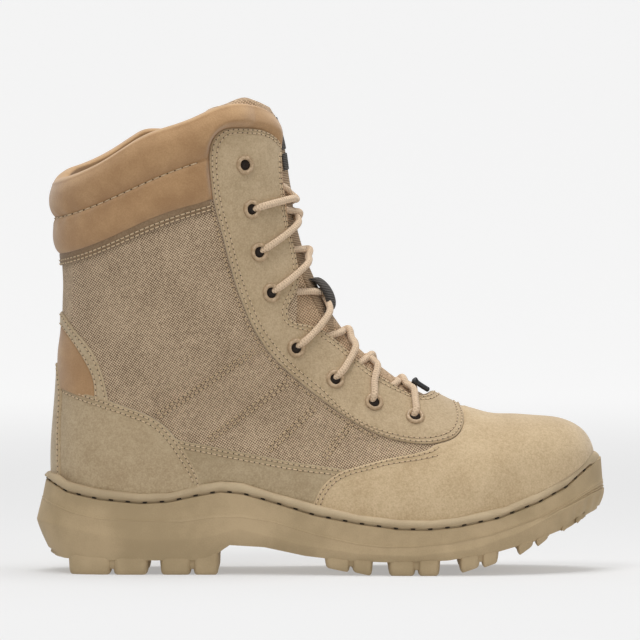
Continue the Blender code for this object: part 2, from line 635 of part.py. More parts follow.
def make_insole(bench, paints):
    """Footbed board that lies in the cup inside the wall."""
    board = bench.loft("insole", form_rings(-WALL - GAP))
    floor = smooth_line(FLOOR, 0.012)
    outline = region(shifted(floor, GAP + INSOLE_THICK), shifted(floor, GAP))
    bench.cut(board, bench.prism("insole_keep", outline), "INTERSECT")
    return bench.finish(board, paints["insole"])


def make_tongue(bench, paints):
    """Padded tongue under the facings."""
    outer = -TONGUE_DEPTH
    wall = bench.shell("tongue", form_rings(outer), form_rings(outer - TONGUE_THICK))
    top = smooth_line(TONGUE_EDGE, 0.008)
    back = smooth_line(TONGUE_BACK, 0.010)
    ahead = np.array([(back[-1, 0] + 0.02, top[-1, 1])])
    outline = np.concatenate([top, ahead, back[::-1][:-1]])
    bench.cut(wall, bench.prism("tongue_keep", outline), "INTERSECT")
    return bench.finish(wall, paints["tongue"])


def make_welt(bench, paints):
    """Moulded bead between the outsole's rim and the feather line."""
    rings = [sole_ring(*row) for row in WELT_RINGS]
    ring = ruled_body(bench, "welt", rings, FEATHER, None)
    room = bench.loft("welt_room", form_rings(GAP), cutter=True)
    bench.cut(ring, room)
    return bench.finish(ring, paints["welt"])


def beside(points, distance):
    """Side-view line moved sideways, to its left when the distance is positive."""
    along = np.gradient(points, axis=0)
    along /= np.linalg.norm(along, axis=1)[:, None]
    return points + distance * np.stack([-along[:, 1], along[:, 0]], axis=1)


def between(line, low, high):
    """Points of a line whose X lies in a span."""
    return line[(line[:, 0] >= low) & (line[:, 0] <= high)]


def make_layer(bench, name, material, inner, outer, outline, sides=(-0.2, 0.2)):
    """Piece of the upper cut out of a layer over the form by its side-view outline."""
    layer = bench.shell(name, form_rings(outer), form_rings(inner))
    keep = bench.prism(name + "_keep", outline, *sides)
    bench.cut(layer, keep, "INTERSECT")
    return bench.finish(layer, material)


def make_overlays(bench, paints):
    """Suede and nubuck pieces over the base layer."""
    low, high, thin = GAP, GAP + SUEDE, GAP + TRIM
    feather = shifted(smooth_line(FEATHER, 0.010), GAP * 3.0)
    counter = smooth_line(COUNTER, 0.008)
    mudguard = smooth_line(MUDGUARD, 0.010)
    vamp = smooth_line(VAMP, 0.008)
    eyestay = smooth_line(EYESTAY, 0.012)
    opening = smooth_line(OPENING, 0.010)
    back = side_x(-0.05)
    front = side_x(1.05)

    ring = opening[opening[:, 0] > side_x(0.4)]
    ring = ring[ring[:, 1] < 0.905 * UPPER_HEIGHT]
    outline = np.concatenate([eyestay, ring[::-1]])
    stay = make_layer(bench, "eyestay", paints["eyestay"], low, high, outline)

    upto = eyestay[np.argmin(np.abs(eyestay[:, 0] - side_x(0.70))):]
    edge = beside(upto, -GAP * 2.0)
    rear = vamp[vamp[:, 1] > level(FEATHER, vamp[:, 0]) + GAP]
    under = between(feather, rear[0, 0], front)
    outline = np.concatenate([rear[rear[:, 0] < edge[0, 0]], edge,
                              [(front, 0.12), (front, feather[-1, 1])], under[::-1]])
    make_layer(bench, "vamp", paints["vamp"], low, high, outline)

    top = counter[counter[:, 1] > level(FEATHER, counter[:, 0]) + GAP]
    under = between(feather, back, top[-1, 0])
    outline = np.concatenate([[(back, top[0, 1])], top, under[::-1], [(back, 0.05)]])
    make_layer(bench, "heel_counter", paints["heel"], low, high, outline)

    front_edge = beside(counter, GAP)
    front_edge = front_edge[front_edge[:, 1] < level(MUDGUARD, front_edge[:, 0])]
    front_edge = front_edge[front_edge[:, 1] > level(FEATHER, front_edge[:, 0]) + GAP]
    rear = beside(vamp, GAP)
    rear = rear[rear[:, 1] < level(MUDGUARD, rear[:, 0])]
    rear = rear[rear[:, 1] > level(FEATHER, rear[:, 0]) + GAP]
    upper_edge = between(mudguard, front_edge[0, 0] + 0.002, rear[-1, 0] - 0.002)
    under = between(feather, front_edge[-1, 0] + 0.002, rear[0, 0] - 0.002)
    outline = np.concatenate([front_edge[::-1], upper_edge, rear[::-1], under[::-1]])
    make_layer(bench, "mudguard_lateral", paints["band"], low, high, outline, (-0.2, -0.005))
    make_layer(bench, "mudguard_medial", paints["band"], low, high, outline, (0.002, 0.2))

    collar = shifted(between(smooth_line(COLLAR, 0.010), back, side_x(COLLAR_END)), -GAP * 3.0)
    binding = between(smooth_line(BINDING, 0.010), back, side_x(COLLAR_END))
    make_layer(bench, "collar_band", paints["nubuck"], low, thin, region(collar, binding))

    outside = smooth_line(TRIM_OUT, 0.008)
    inside = smooth_line(TRIM_IN, 0.008)
    over = shifted(smooth_line(COUNTER, 0.008), GAP)
    outside = outside[outside[:, 1] > level(COUNTER, outside[:, 0]) + GAP]
    inside = inside[inside[:, 1] > level(COUNTER, inside[:, 0]) + GAP]
    foot = between(over, inside[-1, 0], outside[-1, 0])
    make_layer(bench, "heel_trim", paints["trim"], low, thin,
               np.concatenate([outside, foot[::-1], inside[::-1]]))
    inner = beside(inside, -GAP)
    foot = between(over, back, inner[-1, 0])
    make_layer(bench, "heel_patch", paints["nubuck"], low, thin,
               np.concatenate([inner, foot[::-1], [(inner[0, 0], foot[0, 1])]]))

    strip = smooth_line(BACKSTAY, 0.010)
    strip = strip[strip[:, 1] > level(FEATHER, strip[:, 0]) + GAP * 4.0]
    foot = between(shifted(feather, GAP), back, strip[-1, 0])
    outline = np.concatenate([[(back, strip[0, 1])], strip, foot[::-1], [(back, foot[0, 1])]])
    make_layer(bench, "backstay", paints["heel"], high + GAP, high + GAP + TRIM, outline)
    return stay


def fine_rows(offset=0.0):
    """Form points on close stations, as an array of station, point round, axis."""
    rows = section_rows(np.linspace(0.0, 1.0, FINE))
    return np.array([form_ring(row, offset) for row in rows])


def form_place(grid, share_u, share_v, side):
    """Place along the fan and column of a side-view place on one side of the form."""
    target = np.array([side_x(share_u), share_v * UPPER_HEIGHT])
    columns = np.arange(1, ROUND) if side < 0 else np.arange(ROUND + 1, 2 * ROUND)
    best = None
    for column in columns:
        for step in (-1, 0):
            a, b = grid[:-1, column + step], grid[1:, column + step]
            c = grid[:-1, (column + step + 1) % (2 * ROUND)]
            across = c - a
            down = b - a
            det = across[:, 0] * down[:, 2] - across[:, 2] * down[:, 0]
            gap = target - a[:, [0, 2]]
            i = (gap[:, 0] * down[:, 2] - gap[:, 1] * down[:, 0]) / det
            j = (across[:, 0] * gap[:, 1] - across[:, 2] * gap[:, 0]) / det
            error = np.abs(i - 0.5) + np.abs(j - 0.5)
            at = int(np.argmin(error))
            if best is None or error[at] < best[0]:
                best = (error[at], (at + j[at]) / (FINE - 1.0), column + step + i[at])
    return best[1], best[2]


def form_point(place, column, offset):
    """Point of the form at a place, a column and an offset."""
    ring = form_ring(section_rows(np.array([place]))[0], offset)
    low = int(math.floor(column))
    share = column - low
    count = len(ring)
    return ring[low % count] * (1.0 - share) + ring[(low + 1) % count] * share


def form_spot(grid, share_u, share_v, side):
    """Point and outward normal of the form at a side-view place, on one side."""
    place, column = form_place(grid, share_u, share_v, side)
    step = 0.5 / FINE
    across = form_point(place, column + 0.2, 0.0) - form_point(place, column - 0.2, 0.0)
    down = form_point(place + step, column, 0.0) - form_point(place - step, column, 0.0)
    normal = np.cross(across, down)
    normal /= np.linalg.norm(normal)
    if normal[1] * side < 0.0:
        normal = -normal
    return form_point(place, column, 0.0), normal


def turned(bench, name, profile, point, normal, segments, cutter=False):
    """Closed ring or cylinder turned about a normal, from radius and height pairs."""
    up = np.array([0.0, 0.0, 1.0])
    first = np.cross(normal, up)
    first /= np.linalg.norm(first)
    second = np.cross(normal, first)
    vertices = []
    for step in range(segments):
        angle = 2.0 * math.pi * step / segments
        ray = first * math.cos(angle) + second * math.sin(angle)
        vertices += [point + ray * radius + normal * rise for radius, rise in profile]
    count = len(profile)
    faces = []
    for step in range(segments):
        after = (step + 1) % segments
        for spot in range(count if not cutter else count - 1):
            beyond = (spot + 1) % count
            faces.append((step * count + spot, step * count + beyond,
                          after * count + beyond, after * count + spot))
    if cutter:
        faces.append(tuple(step * count for step in range(segments)))
        faces.append(tuple(step * count + count - 1 for step in reversed(range(segments))))
    return bench.mesh(name, vertices, faces, cutter)


def make_eyelets(bench, paints, walls):
    """Metal rings of both sides, and their holes through the facing and the wall."""
    grid = fine_rows()
    seat = GAP + SUEDE + GAP * 1.7
    profile = ((EYELET_BORE, seat - 0.0012), (EYELET_BORE + 0.0004, seat + EYELET_FLANGE),
               (EYELET_RADIUS - 0.0010, seat + EYELET_FLANGE * 0.8), (EYELET_RADIUS, seat),
               (EYELET_BORE + 0.0004, seat))
    drill = ((EYELET_BORE + 0.0012, -0.0040), (EYELET_BORE + 0.0012, 0.0040))
    drills = []
    for side, letter in ((-1, "L"), (1, "M")):
        for number, (u, v) in enumerate(EYELETS, start=1):
            point, normal = form_spot(grid, u, v, side)
            ring = turned(bench, f"eyelet_{letter}{number}", profile, point, normal, 8)
            bench.finish(ring, paints["eyelet"], 50.0)
            drills.append(turned(bench, f"drill_{letter}{number}", drill, point, normal, 6, True))
    holes = join(bench, "eyelet_holes", drills)
    for wall in walls:
        bench.cut(wall, holes)


def column_place(grid, column, line):
    """Station share where a column of the form crosses a side-view line, from above."""
    points = grid[:, column]
    over = points[:, 2] - level(line, points[:, 0])
    below = int(np.argmax(over < 0.0))
    share = over[below - 1] / (over[below - 1] - over[below])
    return (below - 1 + share) / (len(grid) - 1)


def make_collar(bench, paints):
    """Padded cuff with two rolls that wraps over the top edge of the wall."""
    grid = fine_rows()
    columns = np.arange(ROUND + 2.0, 3.0 * ROUND - 1.9, 0.5)
    zip_x = side_x(ZIP_LINE[0][0])
    row = grid[ZIP_ROW]
    medial = [c for c in columns if c < 2 * ROUND]
    at_zip = min(medial, key=lambda c: abs(np.interp(c, range(2 * ROUND), row[:, 0]) - zip_x))
    rings = []
    for column in columns:
        near = int(column) % (2 * ROUND)
        far = int(math.ceil(column)) % (2 * ROUND)
        low = (column_place(grid, near, COLLAR) + column_place(grid, far, COLLAR)) / 2.0
        top = (column_place(grid, near, OPENING) + column_place(grid, far, OPENING)) / 2.0
        reach = form_point(low, column, 0.0) - form_point(top, column, 0.0)
        rise = (low - top) / np.linalg.norm(reach)
        lip = top - COLLAR_CHANNEL * 2.0 * rise
        crown = top - COLLAR_TOP * rise
        span = low - top
        inner = -WALL - COLLAR_CHANNEL
        flat = abs(column - at_zip) <= ZIP_COLUMNS
        path = [(low - span * share, ROLL_AT_ZIP if flat else offset) for share, offset in ROLL]
        path += [
            (crown, 0.0014), (crown, -WALL - 0.0014), (top + span * 0.1, inner - LINING),
            (top + span * 0.45, inner - LINING * 0.9), (top + span * 0.75, inner - 0.0010),
            (top + span * 0.75, inner), (top + span * 0.35, inner), (lip, inner),
            (lip, COLLAR_CHANNEL), (top + span * 0.3, COLLAR_CHANNEL),
            (top + span * 0.65, COLLAR_CHANNEL), (low, COLLAR_CHANNEL),
        ]
        rings.append(np.array([form_point(place, column, offset) for place, offset in path]))
    cuff = bench.loft("collar", rings)
    end_x = side_x(COLLAR_END)
    keep = bench.prism("collar_keep", [(-0.3, 0.1), (-0.3, 0.4), (end_x, 0.4), (end_x, 0.1)])
    bench.cut(cuff, keep, "INTERSECT")
    return bench.finish(cuff, paints["nubuck"])


def tube(bench, name, path, radius, sides=6):
    """Round solid along a path of points."""
    path = np.asarray(path)
    along = np.gradient(path, axis=0)
    rings = []
    for point, way in zip(path, along):
        way = way / np.linalg.norm(way)
        first = np.cross(way, (0.3, 0.0, 1.0))
        first /= np.linalg.norm(first)
        second = np.cross(way, first)
        angles = np.linspace(0.0, 2.0 * math.pi, sides, endpoint=False)
        rings.append(point + radius * (np.outer(np.cos(angles), first)
                                       + np.outer(np.sin(angles), second)))
    return bench.loft(name, rings)


def crest_place(grid, share_u):
    """Place along the fan where the crest passes a length share."""
    crest = grid[:int(0.8 * FINE), ROUND, 0]
    at = int(np.argmax(crest > side_x(share_u)))
    share = (side_x(share_u) - crest[at - 1]) / (crest[at] - crest[at - 1])
    return (at - 1 + share) / (FINE - 1.0)


def past_line(line, x, z):
    """How far a side-view point lies ahead of a line drawn from top to bottom."""
    best = None
    for (ax, az), (bx, bz) in zip(line[:-1], line[1:]):
        way = np.array([bx - ax, bz - az])
        gap = np.array([x - ax, z - az])
        share = min(1.0, max(0.0, np.dot(gap, way) / np.dot(way, way)))
        away = gap - share * way
        distance = np.linalg.norm(away)
        if best is None or distance < best[0]:
            best = (distance, way[0] * gap[1] - way[1] * gap[0])
    return best[0] if best[1] > 0.0 else -best[0]


def lace_path(grid, throat, start, crest_u, end, side, lap):
    """Lace run out of one eyelet, over its facing, across the tongue to the far facing."""
    turn = crest_place(grid, crest_u)
    over_ring = GAP + SUEDE + GAP * 1.7 + EYELET_FLANGE + GAP * 2.0 + LACE_RADIUS
    over_edge = GAP + SUEDE + GAP * 2.0 + LACE_RADIUS
    first = form_place(grid, *start, side)
    last = form_place(grid, *end, -side)
    seat, normal = form_spot(grid, *start, side)
    lean = np.dot(form_point(*first, GAP) - seat, normal) / GAP
    over_ring /= lean
    over_edge /= lean
    spots = []
    for leg, reverse in ((first, False), (last, True)):
        shares = LACE_SHARES[::-1] if reverse else LACE_SHARES
        for share in shares:
            place = leg[0] + (turn - leg[0]) * share
            column = leg[1] + (ROUND - leg[1]) * share
            point = form_point(place, column, 0.0)
            ahead = past_line(throat, point[0], point[2])
            if reverse and ahead < LACE_STOP:
                continue
            if reverse:
                offset = LACE_CREST
            elif ahead < LACE_EDGE:
                offset = over_ring + (over_edge - over_ring) * min(1.0, share * 2.0)
            else:
                offset = over_edge + (LACE_CREST - over_edge) * min(
                    1.0, (ahead - LACE_EDGE) / LACE_DROP)
            spots.append((place, column, offset))
        if not reverse:
            spots.append((turn, float(ROUND), LACE_CREST + lap))
    return [form_point(*spot) for spot in spots]


def make_laces(bench, paints):
    """Crossings of the round lace, the lowest bar and its plain tag."""
    grid = fine_rows()
    throat = smooth_line(OPENING, 0.010)
    throat = throat[throat[:, 0] > side_x(0.42)]
    for number, crest_u in enumerate(CROSSINGS, start=1):
        start, end = EYELETS[number + 1], EYELETS[number]
        runs = []
        for side, label in ((-1, "cross"), (1, "twin")):
            path = lace_path(grid, throat, start, crest_u, end, side, side * LACE_LAP)
            runs.append(tube(bench, f"lace_{label}_{number}", path, LACE_RADIUS))
        bench.cut(runs[0], runs[1], "UNION")
        bpy.data.objects.remove(runs[1])
        bench.finish(runs[0], paints["lace"], 60.0)
    turn = crest_place(grid, BAR_CREST)
    path = [form_point(turn, ROUND + step, LACE_CREST) for step in BAR_COLUMNS]
    bar = tube(bench, "lace_bar", path, LACE_RADIUS)
    bench.finish(bar, paints["lace"], 60.0)
    points = [(side_x(u), v * UPPER_HEIGHT) for u, v in TAG]
    middle = float(swing(np.array([side_x(BAR_CREST)]))[0])
    make_layer(bench, "lace_tag", paints["tag"], TAG_SEAT, TAG_SEAT + TAG_THICK, points,
               (middle - TAG_WIDTH / 2.0, middle + TAG_WIDTH / 2.0))


def make_tongue_trims(bench, paints):
    """Plain dark webbing down the front of the tongue, and the keeper lower down."""
    inner = -TONGUE_DEPTH + GAP
    for name, outline, half, thick in (("tongue_label", LABEL, 0.0085, 0.0010),
                                       ("tongue_loop", LOOP, 0.0050, 0.0012)):
        points = [(side_x(u), v * UPPER_HEIGHT) for u, v in outline]
        middle = SWING[0][1]
        make_layer(bench, name, paints["webbing"], inner, inner + thick, points,
                   (middle - half, middle + half))


def zip_frame(grid):
    """Points and normals down the zip's middle line on the medial side."""
    table = np.asarray(ZIP_LINE)
    along = np.linspace(0.0, 1.0, ZIP_STEPS)
    knots = np.linspace(0.0, 1.0, len(table))
    places = spline(knots, table, along)
    spots = [form_spot(grid, u, v, 1) for u, v in places]
    return np.array([p for p, n in spots]), np.array([n for p, n in spots])


def make_zip(bench, paints):
    """Medial zip: tape, closed coil, slider at the top and its hinged pull."""
    line = smooth_line(ZIP_LINE, 0.012)
    outline = region(beside(line, ZIP_TAPE / 2.0), beside(line, -ZIP_TAPE / 2.0))
    make_layer(bench, "zip_band", paints["zip"], ZIP_SEAT, ZIP_SEAT + TRIM, outline,
               (0.002, 0.2))
    grid = fine_rows()
    points, normals = zip_frame(grid)
    rings = []
    for spot in range(2, len(points)):
        way = points[min(spot + 1, len(points) - 1)] - points[spot - 1]
        way /= np.linalg.norm(way)
        up = normals[spot]
        side = np.cross(way, up)
        low = points[spot] + up * (ZIP_SEAT + TRIM + GAP * 2.0)
        half = side * ZIP_COIL / 2.0
        rings.append(np.array([low - half, low + half, low + half * 0.7 + up * ZIP_RISE,
                               low - half * 0.7 + up * ZIP_RISE]))
    bench.finish(bench.loft("zip_teeth", rings), paints["coil"])
    top = points[1] * 0.6 + points[0] * 0.4
    up = normals[0]
    way = points[0] - points[2]
    way -= up * np.dot(way, up)
    way /= np.linalg.norm(way)
    side = np.cross(way, up)
    turn = np.stack([side, way, up], axis=1)
    seat = top + up * (ZIP_SEAT + TRIM + GAP * 3.0)

    def block(name, low, high, cutter=False):
        corners = [(x, y, z) for x in (low[0], high[0]) for y in (low[1], high[1])
                   for z in (low[2], high[2])]
        faces = [(0, 1, 3, 2), (4, 6, 7, 5), (0, 4, 5, 1), (2, 3, 7, 6), (0, 2, 6, 4),
                 (1, 5, 7, 3)]
        return bench.mesh(name, [seat + turn @ np.array(c) for c in corners], faces, cutter)

    def across_rod(name, half, radius, sides=8):
        ends = [seat + turn @ np.array((x, PIN_DOWN, PIN_RISE)) for x in (-half, 0.0, half)]
        return tube(bench, name, ends, radius, sides)

    slider = block("zip_slider", (-0.0038, -0.0050, 0.0), (0.0038, 0.0045, SLIDER_BODY))
    for name, edge in (("ear_a", -1.0), ("ear_b", 1.0)):
        low, high = sorted((edge * EAR_INNER, edge * EAR_OUTER))
        ear = block(name, (low, PIN_DOWN - 0.0013, 0.0010),
                    (high, PIN_DOWN + 0.0013, PIN_RISE + 0.0012), True)
        bench.cut(slider, ear, "UNION")
    pin = across_rod("pin", (EAR_INNER + EAR_OUTER) / 2.0, PIN_RADIUS)
    bench.cut(slider, pin, "UNION")
    bpy.data.objects.remove(pin)
    bench.finish(slider, paints["zip_metal"])
    pull = across_rod("zip_pull", EAR_INNER - GAP, KNUCKLE_RADIUS)
    half = PULL_THICK / 2.0
    neck = block("neck", (GAP - EAR_INNER, PIN_DOWN - 0.0036, PIN_RISE - half),
                 (EAR_INNER - GAP, PIN_DOWN - 0.0008, PIN_RISE + half), True)
    tab = block("tab", (-PULL_WIDTH / 2.0, PIN_DOWN - PULL_LENGTH, PIN_RISE - half),
                (PULL_WIDTH / 2.0, PIN_DOWN - 0.0030, PIN_RISE + half), True)
    bore = across_rod("bore", EAR_OUTER, PIN_RADIUS + GAP)
    bench.cut(pull, neck, "UNION")
    bench.cut(pull, tab, "UNION")
    bench.cut(pull, bore)
    bpy.data.objects.remove(bore)
    bench.finish(pull, paints["zip_metal"])
    hinge = seat + turn @ np.array((0.0, PIN_DOWN, PIN_RISE))
    for vertex in pull.data.vertices:
        vertex.co = [c - h for c, h in zip(vertex.co, hinge)]
    pull.location = [float(c) for c in hinge]
    return hinge, side


def main():
    """Clear the scene and build every piece."""
    for item in list(bpy.data.objects):
        bpy.data.objects.remove(item)
    paints = {
        "sole": paint("sole_rubber", (0.64, 0.56, 0.44), 0.75),
        "welt": paint("welt_rubber", (0.63, 0.55, 0.44), 0.7),
        "insole": paint("insole_board", (0.45, 0.40, 0.33), 0.9),
        "nylon": paint("woven_nylon", (0.64, 0.55, 0.44), 0.85),
        "tongue": paint("tongue_cloth", (0.64, 0.56, 0.45), 0.85),
        "nubuck": paint("collar_nubuck", (0.63, 0.50, 0.37), 0.85),
        "eyestay": paint("eyestay_suede", (0.66, 0.59, 0.47), 0.9),
        "vamp": paint("vamp_suede", (0.81, 0.73, 0.59), 0.9),
        "heel": paint("heel_suede", (0.65, 0.57, 0.45), 0.9),
        "band": paint("mudguard_suede", (0.64, 0.57, 0.46), 0.9),
        "trim": paint("trim_suede", (0.70, 0.63, 0.51), 0.9),
        "eyelet": paint("eyelet_paint", (0.68, 0.59, 0.48), 0.5),
        "lace": paint("lace_braid", (0.78, 0.68, 0.57), 0.85),
        "tag": paint("black_tag", (0.12, 0.12, 0.12), 0.5),
        "webbing": paint("dark_webbing", (0.24, 0.22, 0.20), 0.85),
        "zip": paint("zip_tape", (0.58, 0.52, 0.42), 0.85),
        "coil": paint("zip_coil", (0.56, 0.50, 0.41), 0.6),
        "zip_metal": paint("zip_metal", (0.50, 0.44, 0.36), 0.5),
    }
    bench = Bench()
    make_outsole(bench, paints)
    make_welt(bench, paints)
    make_insole(bench, paints)
    wall = make_upper(bench, paints)
    make_tongue(bench, paints)
    stay = make_overlays(bench, paints)
    make_eyelets(bench, paints, (wall, stay))
    make_collar(bench, paints)
    make_laces(bench, paints)
    make_tongue_trims(bench, paints)
    make_zip(bench, paints)


main()
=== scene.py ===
"""Looks of a right combat boot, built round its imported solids.

Frame: +X to the toe, +Y medial, +Z up. Side-view lines are shares of length and height.
"""

import json
import logging
import math
from dataclasses import dataclass, field
from enum import Enum

import bmesh
import bpy
import numpy as np
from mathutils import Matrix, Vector


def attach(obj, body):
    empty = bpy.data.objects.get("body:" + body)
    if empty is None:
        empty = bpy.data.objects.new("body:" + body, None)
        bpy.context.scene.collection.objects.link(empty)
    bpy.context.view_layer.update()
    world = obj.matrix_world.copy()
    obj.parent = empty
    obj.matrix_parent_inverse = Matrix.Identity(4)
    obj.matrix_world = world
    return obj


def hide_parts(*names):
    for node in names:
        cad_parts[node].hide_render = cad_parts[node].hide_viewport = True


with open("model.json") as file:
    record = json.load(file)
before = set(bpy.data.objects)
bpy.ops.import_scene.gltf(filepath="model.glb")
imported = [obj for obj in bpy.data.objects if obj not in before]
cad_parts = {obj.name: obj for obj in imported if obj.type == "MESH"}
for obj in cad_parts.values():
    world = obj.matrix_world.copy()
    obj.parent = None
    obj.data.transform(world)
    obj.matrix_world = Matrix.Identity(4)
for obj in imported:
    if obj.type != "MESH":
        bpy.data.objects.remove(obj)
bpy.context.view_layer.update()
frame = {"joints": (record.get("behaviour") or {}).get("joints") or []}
LOG = logging.getLogger("boot")
Line = tuple[tuple[float, float], ...]

LENGTH = 0.305
HEIGHT = 0.248
SOLE_WIDTH = 0.112
BALL = 0.100
HEEL = 0.072
SHAFT = 0.080
WALL = 0.0022
HALF_TURN = 9.0
FULL_TURN = 18.0

# Front and back of each section plane, half widths, the named width, place of the
# widest point, roundness before and behind it, and bow
SECTIONS = (
    (0.402, 1.062, 0.035, 0.900, 0.487, 0.487, SHAFT, 0.50, 2.00, 2.10, 0.00),
    (0.425, 0.993, 0.037, 0.833, 0.494, 0.494, SHAFT, 0.50, 1.95, 2.10, 0.00),
    (0.442, 0.928, 0.040, 0.768, 0.494, 0.494, SHAFT, 0.50, 1.90, 2.10, 0.00),
    (0.451, 0.856, 0.044, 0.690, 0.487, 0.487, SHAFT, 0.50, 1.85, 2.05, 0.00),
    (0.463, 0.785, 0.045, 0.616, 0.479, 0.479, SHAFT, 0.50, 1.80, 2.00, 0.00),
    (0.479, 0.709, 0.045, 0.547, 0.470, 0.470, SHAFT, 0.50, 1.75, 1.95, 0.00),
    (0.498, 0.646, 0.044, 0.484, 0.463, 0.463, SHAFT, 0.52, 1.75, 1.95, 0.00),
    (0.523, 0.581, 0.042, 0.417, 0.507, 0.507, HEEL, 0.55, 1.75, 2.00, 0.00),
    (0.551, 0.525, 0.037, 0.337, 0.500, 0.500, HEEL, 0.60, 1.75, 2.10, 0.00),
    (0.576, 0.488, 0.033, 0.257, 0.500, 0.500, HEEL, 0.64, 1.75, 2.30, 0.00),
    (0.600, 0.462, 0.035, 0.170, 0.500, 0.500, HEEL, 0.67, 1.80, 2.50, 0.00),
    (0.623, 0.441, 0.058, 0.090, 0.505, 0.500, HEEL, 0.68, 1.85, 2.80, 0.00),
    (0.657, 0.410, 0.164, 0.060, 0.510, 0.505, HEEL, 0.68, 1.90, 3.20, 0.00),
    (0.699, 0.382, 0.296, 0.055, 0.382, 0.375, BALL, 0.68, 1.95, 3.60, 0.00),
    (0.739, 0.358, 0.437, 0.045, 0.425, 0.410, BALL, 0.69, 2.05, 4.00, 0.00),
    (0.783, 0.341, 0.572, 0.025, 0.478, 0.455, BALL, 0.71, 2.15, 4.00, 0.00),
    (0.833, 0.333, 0.660, 0.015, 0.498, 0.490, BALL, 0.74, 2.25, 4.00, 0.00),
    (0.882, 0.330, 0.673, 0.013, 0.498, 0.500, BALL, 0.79, 2.30, 4.00, 0.00),
    (0.917, 0.325, 0.680, 0.012, 0.490, 0.495, BALL, 0.83, 2.30, 4.00, 0.00),
    (0.944, 0.312, 0.686, 0.011, 0.485, 0.490, BALL, 0.87, 2.30, 4.00, 0.00),
    (0.962, 0.294, 0.691, 0.011, 0.480, 0.485, BALL, 0.89, 2.30, 4.00, 0.00),
    (0.973, 0.270, 0.695, 0.012, 0.475, 0.480, BALL, 0.90, 2.30, 4.00, 0.00),
    (0.978, 0.241, 0.699, 0.014, 0.470, 0.475, BALL, 0.90, 2.30, 4.00, 0.00),
    (0.978, 0.210, 0.702, 0.017, 0.465, 0.470, BALL, 0.90, 2.30, 4.00, -0.01),
    (0.972, 0.176, 0.704, 0.021, 0.460, 0.465, BALL, 0.90, 2.30, 4.00, -0.02),
    (0.952, 0.080, 0.706, 0.022, 0.450, 0.455, BALL, 0.90, 2.30, 4.00, -0.04),
)
SWING: Line = (
    (-0.10, -0.0030), (0.30, -0.0030), (0.45, -0.0032), (0.58, -0.0024), (0.68, -0.0008),
    (0.78, 0.0013), (0.88, 0.0038), (0.95, 0.0056), (1.10, 0.0080))
# Share of length, lateral and medial edge in metres
OUTLINE = (
    (0.000, -0.0030, -0.0030), (0.013, -0.0220, 0.0160), (0.045, -0.0345, 0.0285),
    (0.100, -0.0420, 0.0360), (0.180, -0.0450, 0.0390), (0.280, -0.0448, 0.0380),
    (0.380, -0.0465, 0.0370), (0.480, -0.0500, 0.0412), (0.580, -0.0542, 0.0490),
    (0.660, -0.0560, 0.0540), (0.740, -0.0550, 0.0560), (0.820, -0.0496, 0.0545),
    (0.890, -0.0398, 0.0490), (0.945, -0.0265, 0.0398), (0.980, -0.0110, 0.0280),
    (1.000, 0.0085, 0.0085))
FEATHER: Line = (
    (-0.012, 0.218), (0.025, 0.210), (0.049, 0.197), (0.111, 0.182), (0.185, 0.173),
    (0.238, 0.175), (0.292, 0.193), (0.324, 0.199), (0.361, 0.196), (0.414, 0.175),
    (0.486, 0.151), (0.562, 0.129), (0.636, 0.119), (0.692, 0.118), (0.738, 0.124),
    (0.824, 0.145), (0.886, 0.176), (0.935, 0.209), (0.960, 0.233), (0.982, 0.261),
    (1.009, 0.296))
GROOVE: Line = (
    (-0.012, 0.205), (0.014, 0.194), (0.049, 0.175), (0.111, 0.160), (0.185, 0.152),
    (0.234, 0.155), (0.283, 0.168), (0.324, 0.177), (0.361, 0.173), (0.414, 0.155),
    (0.488, 0.127), (0.562, 0.110), (0.636, 0.098), (0.685, 0.097), (0.738, 0.103),
    (0.812, 0.121), (0.886, 0.154), (0.935, 0.184), (0.960, 0.209), (0.986, 0.233),
    (1.012, 0.257))
STEP: Line = (
    (-0.012, 0.166), (0.012, 0.152), (0.062, 0.131), (0.111, 0.118), (0.185, 0.114),
    (0.259, 0.112), (0.308, 0.121), (0.357, 0.123), (0.414, 0.113), (0.488, 0.086),
    (0.562, 0.066), (0.611, 0.060), (0.660, 0.061), (0.727, 0.069), (0.798, 0.086),
    (0.886, 0.122), (0.938, 0.153), (0.982, 0.183), (1.012, 0.200))
WIDEST: Line = (
    (-0.012, 0.116), (0.062, 0.101), (0.111, 0.086), (0.185, 0.075), (0.287, 0.077),
    (0.357, 0.100), (0.463, 0.066), (0.562, 0.048), (0.660, 0.043), (0.762, 0.057),
    (0.850, 0.094), (0.921, 0.138), (0.974, 0.166), (1.012, 0.180))
TREAD: Line = (
    (-0.012, 0.046), (0.040, 0.034), (0.100, 0.031), (0.300, 0.031), (0.318, 0.045),
    (0.340, 0.064), (0.400, 0.060), (0.470, 0.042), (0.540, 0.032), (0.620, 0.029),
    (0.720, 0.033), (0.800, 0.047), (0.870, 0.070), (0.930, 0.096), (0.970, 0.124),
    (1.012, 0.146))
FLOOR: Line = (
    (-0.030, 0.127), (0.040, 0.127), (0.185, 0.120), (0.322, 0.125), (0.428, 0.099),
    (0.533, 0.075), (0.639, 0.064), (0.727, 0.064), (0.850, 0.088), (0.921, 0.116),
    (0.974, 0.146), (1.012, 0.170))
OPENING: Line = (
    (-0.030, 0.823), (0.002, 0.832), (0.035, 0.839), (0.089, 0.860), (0.156, 0.898),
    (0.223, 0.939), (0.285, 0.975), (0.324, 0.996), (0.375, 1.000), (0.408, 0.984),
    (0.422, 0.963), (0.428, 0.924), (0.430, 0.867), (0.435, 0.813), (0.441, 0.755),
    (0.450, 0.697), (0.458, 0.646), (0.456, 0.610), (0.444, 0.581), (0.441, 0.558),
    (0.450, 0.541), (0.472, 0.534), (0.500, 0.521), (0.526, 0.497), (0.551, 0.468),
    (0.589, 0.430), (0.621, 0.405), (0.651, 0.384), (0.671, 0.378), (0.688, 0.384),
    (0.698, 0.402), (0.701, 0.430))
